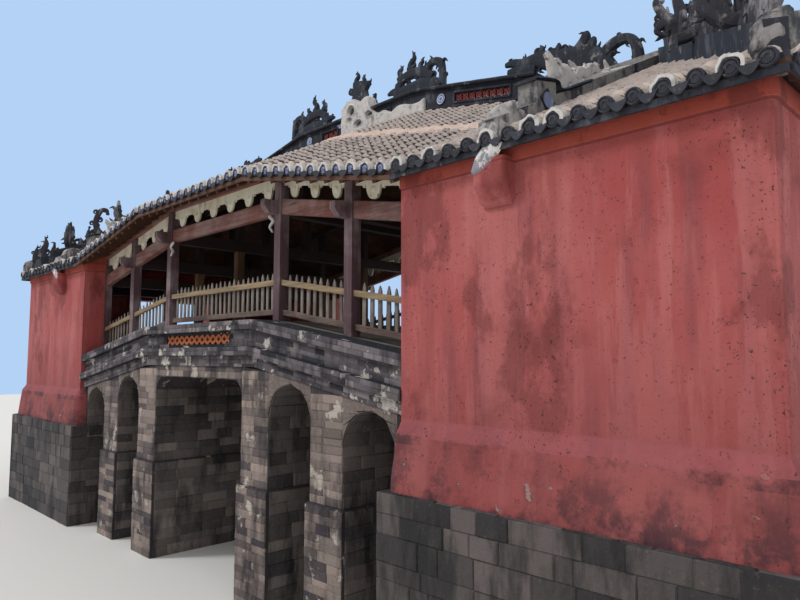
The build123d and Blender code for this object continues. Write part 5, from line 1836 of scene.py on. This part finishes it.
    def porcelain(self) -> None:
        """Blue and white discs let into the ridge, each a dished plate in a dark rim."""
        rims = Piece("porcelain_rims", "lime_mortar", DARK_MORTAR)
        plates = Piece("porcelain_plates", "lime_mortar", PORCELAIN)
        shades = np.repeat([0.1, 0.1, 0.1, 0.9, 0.1, 0.9], 24)
        for side in SIDES:
            spots = np.array([(-side * x, side * (LINES.half_ridge + 0.004), z) for x, z in self.discs])
            rims.add(wheel(spots, (0, side, 0), self.rim, 24, self.disc_radius), 0.5)
            plates.add(wheel(spots, (0, side, 0), self.plate, 24, self.disc_radius),
                       np.tile(shades, (len(spots), 1)))
        rims.place()
        plates.place()

    def build(self) -> None:
        """Dress the ridge."""
        self.grilles()
        self.mouldings()
        self.foot()
        self.cloud()
        self.porcelain()


@dataclass
class SlopeBand:
    """A band of lime over the tiles half way up each slope, where an old upper roof met the lower one."""

    middle: float = 2.0
    width: float = 0.4
    rise: float = 0.15
    swell: float = 0.02
    step: float = 0.03

    def build(self) -> None:
        """Lay the band: a low hump across, carried along the bridge, swelling over each row of tiles."""
        piece = Piece("slope_bands", "lime_mortar", PINK_MORTAR, 60)
        x = np.arange(-LINES.span_half, LINES.span_half + 0.01, self.step)[:, None]
        across = np.linspace(-1, 1, 15)
        hump = np.sqrt(np.clip(1 - np.abs(across) ** 2.6, 0, 1))
        rows = (x + LINES.flat_half) / LINES.tile_pitch - 0.5
        wave = 0.5 + 0.5 * np.cos(FULL_TURN * rows)
        for side in SIDES:
            y = side * (self.middle + across * self.width / 2)
            flat = grid(x, y, roof_level(x, y))
            rough = ripple(flat, 0.3, 31) * 0.012 + ripple(flat, 0.09, 32) * 0.006
            flat[..., 2] += hump * (self.rise * 0.62 + self.swell * wave + rough)
            flat[..., 1] += side * ripple(flat, 0.5, 33) * 0.02
            piece.add(flat, 0.4, (0, side * 0.5, 1))
        piece.place()


@dataclass
class VergeDress:
    """The fittings of the verges: rounded foot stones, copings and discs on the boxes, and end leaves."""

    stones: tuple[tuple[float, float, Point], ...] = ((3.46, 0.08, (0.15, 0.2, 0.2)),
                                                      (3.7, 0.04, (0.14, 0.12, 0.14)))
    box: tuple[float, float] = (2.76, 3.12)
    box_rise: float = 0.45
    disc_rise: float = 0.28
    coping_half: Point = (0.15, 0, 0.022)
    lozenge: Pairs = ((0.0, -0.01), (0.135, -0.01), (0.135, 0.012), (0.0, 0.012))
    disc: Pairs = ((0.0, 0.0), (0.088, 0.0), (0.088, 0.024), (0.07, 0.016), (0.0, 0.02))
    leaf_half: float = 0.03
    leaf: Stroke = ((0.16, 0.0, 0.05), (0.1, -0.04, 0.09), (0.0, -0.11, 0.1), (-0.1, -0.19, 0.085),
                    (-0.17, -0.26, 0.03))

    @staticmethod
    def slope(y: float) -> float:
        """Level of the slope at a distance from the centre line."""
        return LINES.pavilion_eave + (LINES.eave_y - y) * LINES.pitch

    def coping(self) -> Array:
        """The coping over a box and up the verge behind it: a flat strip with eased edges."""
        low, high = self.box
        top = self.slope(high) + self.box_rise
        ends = [(high + 0.04, top + 0.01), (low, top + 0.1), (low - 0.08, self.slope(low) + 0.3),
                (low - 0.26, self.slope(low - 0.26) + 0.23), (low - 0.75, self.slope(low - 0.75) + 0.225)]
        line, size = capped(eased(np.array(ends), 6))
        wide, rise = squared(np.linspace(0, FULL_TURN, 9), 0.4)
        section = grid(wide, 0, rise) * self.coping_half
        return np.insert(line, 0, 0, axis=1)[:, None] + section * size[:, None, None]

    def leaf_ring(self) -> Array:
        """A leaf of flaking lime over the verge's end: an oval carried along its stroke."""
        line, size = capped(eased(np.array(self.leaf), 5))
        turn = np.linspace(0, FULL_TURN, 9)
        wide = np.outer(line[:, 2] * size, np.cos(turn))
        out = np.outer(self.leaf_half * size, np.sin(turn)) - 0.05 * wide
        return grid(line[:, :1] + 0.55 * wide, LINES.eave_y + 0.02 + out,
                    LINES.pavilion_eave - 0.02 + line[:, 1:2] - 0.8 * wide)

    def build(self) -> None:
        """Fit them on all four verges."""
        stones = Piece("verge_foot_stones", "lime_mortar", ROUGH_STONE, 60)
        copings = Piece("verge_copings", "lime_mortar", DARK_MORTAR, 50)
        leaves = Piece("verge_end_leaves", "lime_mortar", FLAKED_LIME, 60)
        discs = Piece("verge_discs", "lime_mortar", PORCELAIN)
        boss = self.slope(self.box[1]) + self.disc_rise
        for sign_x, sign_y in CORNERS:
            x = sign_x * LINES.verge_x
            for y, rise, half in self.stones:
                stones.add(rough_stone((x, sign_y * y, self.slope(y) + rise), half, 41), 0.3)
            copings.add(self.coping() * (1, sign_y, 1) + (x, 0, 0), 0.5)
            for out in SIDES:
                spot = (x + out * LINES.verge_half, sign_y * sum(self.box) / 2, boss)
                copings.add(wheel(spot, (out, 0, 0), self.lozenge, 4), 0.5)
                discs.add(wheel(spot, (out, 0, 0), self.disc, 20), 0.6)
            leaves.add(self.leaf_ring() * (sign_x, sign_y, 1) + (x, 0, 0), 0.4)
        for piece in (stones, copings, leaves, discs):
            piece.place()


@dataclass
class CarvedValances:
    """Cream boards under the wall plates, sawn along the lower edge into pendants, cusps and scallops."""

    depth: float = 0.14
    thickness: float = 0.03
    pendant_pitch: float = 0.56
    pendant: float = 0.18
    steps: int = 48
    top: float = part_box("valances")[1].z
    beam_top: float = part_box("eave_beams")[1].z
    bracket_drop: float = 0.24
    boss_drop: float = 0.05

    def sawn(self, away: Array) -> Array:
        """Depth of a board at a distance from the nearest pendant's middle, as a share of their pitch.

        It is the board's own depth, plus a full oval at each pendant, less a small notch on both sides of
        it, plus a small round cusp beyond each notch.
        """
        oval = self.pendant * np.clip(1 - (away / 0.2) ** 2.4, 0, 1) ** 0.5
        notch = 0.03 * np.exp(-((away - 0.22) / 0.018) ** 2)
        cusp = 0.035 * np.sqrt(np.clip(1 - ((away - 0.27) / 0.035) ** 2, 0, 1))
        return self.depth + oval - notch + cusp

    def build(self) -> None:
        """Saw the boards of every bay, with a boss over each pendant."""
        piece = Piece("carved_valances", "painted_board", CREAM_PAINT, 40)
        bosses = Piece("valance_bosses", "painted_board", CREAM_PAINT, 60)
        middle_y = LINES.half_width - LINES.post_half
        front, back = middle_y + self.thickness / 2, middle_y - self.thickness / 2
        for sign in SIDES:
            for low, high in PicketRailings().bays():
                middle = spread(low, high, self.pendant_pitch)
                count = len(middle)
                x = np.linspace(low, high, count * self.steps + 1)
                phase = (x - low) / (high - low) * count
                upper = self.top - drop(x, LINES.roof_fall)
                lower = upper - self.sawn(np.abs(phase - np.floor(phase) - 0.5))
                ring = [(front, upper), (front, (upper + lower) / 2), (front, lower), (back, lower),
                        (back, upper), (front, upper)]
                sheet = np.stack([grid(x, sign * y, z) for y, z in ring])
                ends = sheet[:, [0, -1]].copy()
                ends[:, :, 1:] = ends[:, :, 1:].mean(axis=0, keepdims=True)
                piece.add(np.concatenate([ends[:, :1], sheet, ends[:, 1:]], axis=1), 0.4)
                level = self.top - drop(middle, LINES.roof_fall) - self.depth - self.boss_drop
                spots = grid(middle, sign * front, level)
                bosses.add(domes(spots, (0.045, 0.012, 0.045), 12, 6), 0.4)
        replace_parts(piece.place(), "valances")
        bosses.place()
        self.brackets()

    def brackets(self) -> None:
        """White scrolls under the beams at the middle posts: an S of limbs with a curl at each end."""
        piece = Piece("white_scrolls", "lime_mortar", WHITE_SCROLL, 60)
        carver = CrestCarver(half_thickness=0.024, groove=0.2)
        turn = np.linspace(0, 1, 19)
        line = grid(0.06 + 0.05 * np.cos(turn * 9.4) * (1 - 0.4 * turn), -0.01 - 0.26 * turn,
                    0.03 * (1 - 0.6 * turn))
        for sign_x, sign_y in CORNERS:
            origin = (sign_x * (LINES.flat_half - LINES.post_half), sign_y * (LINES.half_width + 0.012),
                      self.beam_top - self.bracket_drop)
            piece.add(carver.limbs(line, CarvingPlane(origin, (-sign_x, 0, 0)), 10), 0.3)
        piece.place()


@dataclass
class Studio:
    """Camera, lamps, floor and backdrop. The camera stands where the photographer stood."""

    position: Point = (10.119, -8.807, 3.5)
    heading: float = 45.439
    pitch_up: float = 4.889
    lens: float = 29.86
    sensor: float = 36
    sight: float = 300
    lamps: tuple[tuple[str, float, float, float, float], ...] = (("key", -38, 48, 1.3, 12),
                                                                 ("fill", 95, 55, 0.35, 60))
    floor: str = "E9E7E3"
    floor_half: float = 60
    sky: str = "B4D2F5"
    light: float = 0.64

    @staticmethod
    def stand(name: str, data: bpy.types.ID) -> bpy.types.Object:
        """Put a camera, a lamp or a mesh into the scene."""
        made = bpy.data.objects.new(name, data)
        bpy.context.scene.collection.objects.link(made)
        return made

    def camera(self) -> None:
        """Set up the camera."""
        camera = self.stand("camera", bpy.data.cameras.new("camera"))
        camera.location = self.position
        camera.rotation_euler = (math.radians(90 + self.pitch_up), 0, math.radians(self.heading))
        camera.data.lens = self.lens
        camera.data.sensor_width = self.sensor
        camera.data.clip_end = self.sight
        bpy.context.scene.camera = camera

    def sun(self) -> None:
        """Hang the lamps, each with its turn, its tilt, its strength and its angle."""
        for name, turn, tilt, power, angle in self.lamps:
            lamp = self.stand(name, bpy.data.lights.new(name, "SUN"))
            lamp.data.energy = power
            lamp.data.angle = math.radians(angle)
            lamp.rotation_euler = (math.radians(tilt), 0, math.radians(turn))

    def backdrop(self) -> None:
        """Light the scene evenly, with a blue sky where the camera sees it."""
        world = Graph(bpy.data.worlds.new("studio"))
        bpy.context.scene.world = world.owner
        world.tree.nodes.clear()
        ray = world.add("LightPath").outputs
        seen = ray["Is Camera Ray"]
        for kind in ("Is Glossy Ray", "Is Transmission Ray"):
            seen = world.add("Math", {0: seen, 1: ray[kind]}, operation="MAXIMUM").outputs[0]
        light = world.add("Background", {"Color": (1, 1, 1, 1), "Strength": self.light})
        back = world.add("Background", {"Color": hex_colour(self.sky), "Strength": 1.0})
        mix = world.add("MixShader", {0: seen, 1: light.outputs[0], 2: back.outputs[0]})
        world.add("OutputWorld", {"Surface": mix.outputs[0]})

    def ground(self) -> None:
        """Lay the floor."""
        mesh = bpy.data.meshes.new("floor")
        mesh.from_pydata([(x * self.floor_half, y * self.floor_half, 0) for x, y in
                          ((-1, -1), (1, -1), (1, 1), (-1, 1))], [], [(0, 1, 2, 3)])
        graph = Graph(bpy.data.materials.new("studio_floor"))
        graph.shader.inputs["Base Color"].default_value = hex_colour(self.floor)
        graph.shader.inputs["Roughness"].default_value = 0.9
        mesh.materials.append(graph.owner)
        self.stand("floor", mesh)

    def build(self) -> None:
        """Put up the studio."""
        self.camera()
        self.sun()
        self.backdrop()
        self.ground()


def main() -> None:
    """Build the bridge's looks piece by piece."""
    logging.basicConfig(level=logging.INFO)
    bpy.context.scene.view_settings.view_transform = "Standard"
    roof = TiledRoof()
    for part in (Studio(), roof, EaveEnds(roof), Masonry(), PlasterSkin(), PicketRailings(), RoofCrests(),
                 RidgeDress(), SlopeBand(), VergeDress(), CarvedValances()):
        part.build()
    for node, finish in (("outer_posts", POST_WOOD), ("inner_posts", INNER_POST_WOOD),
                         ("eave_beams", BEAM_WOOD), ("wall_plates", BEAM_WOOD)):
        ease_timbers(node, finish)
    Painter.dress(TIE_WOOD, "roof_frames")
    Painter.dress(INNER_WOOD, "purlins")
    Painter.dress(BOARD_WOOD, "roof_centre", "roof_east", "roof_west", "pavilion_roof_east",
                  "pavilion_roof_west")
    Painter.dress(DARK_MORTAR, "ridge_centre", "ridge_east", "ridge_west", "hip_ridges")
    Painter.dress(GREY_MORTAR, "pavilion_ridges", "verge_ridges")


if __name__ == "__main__":
    main()
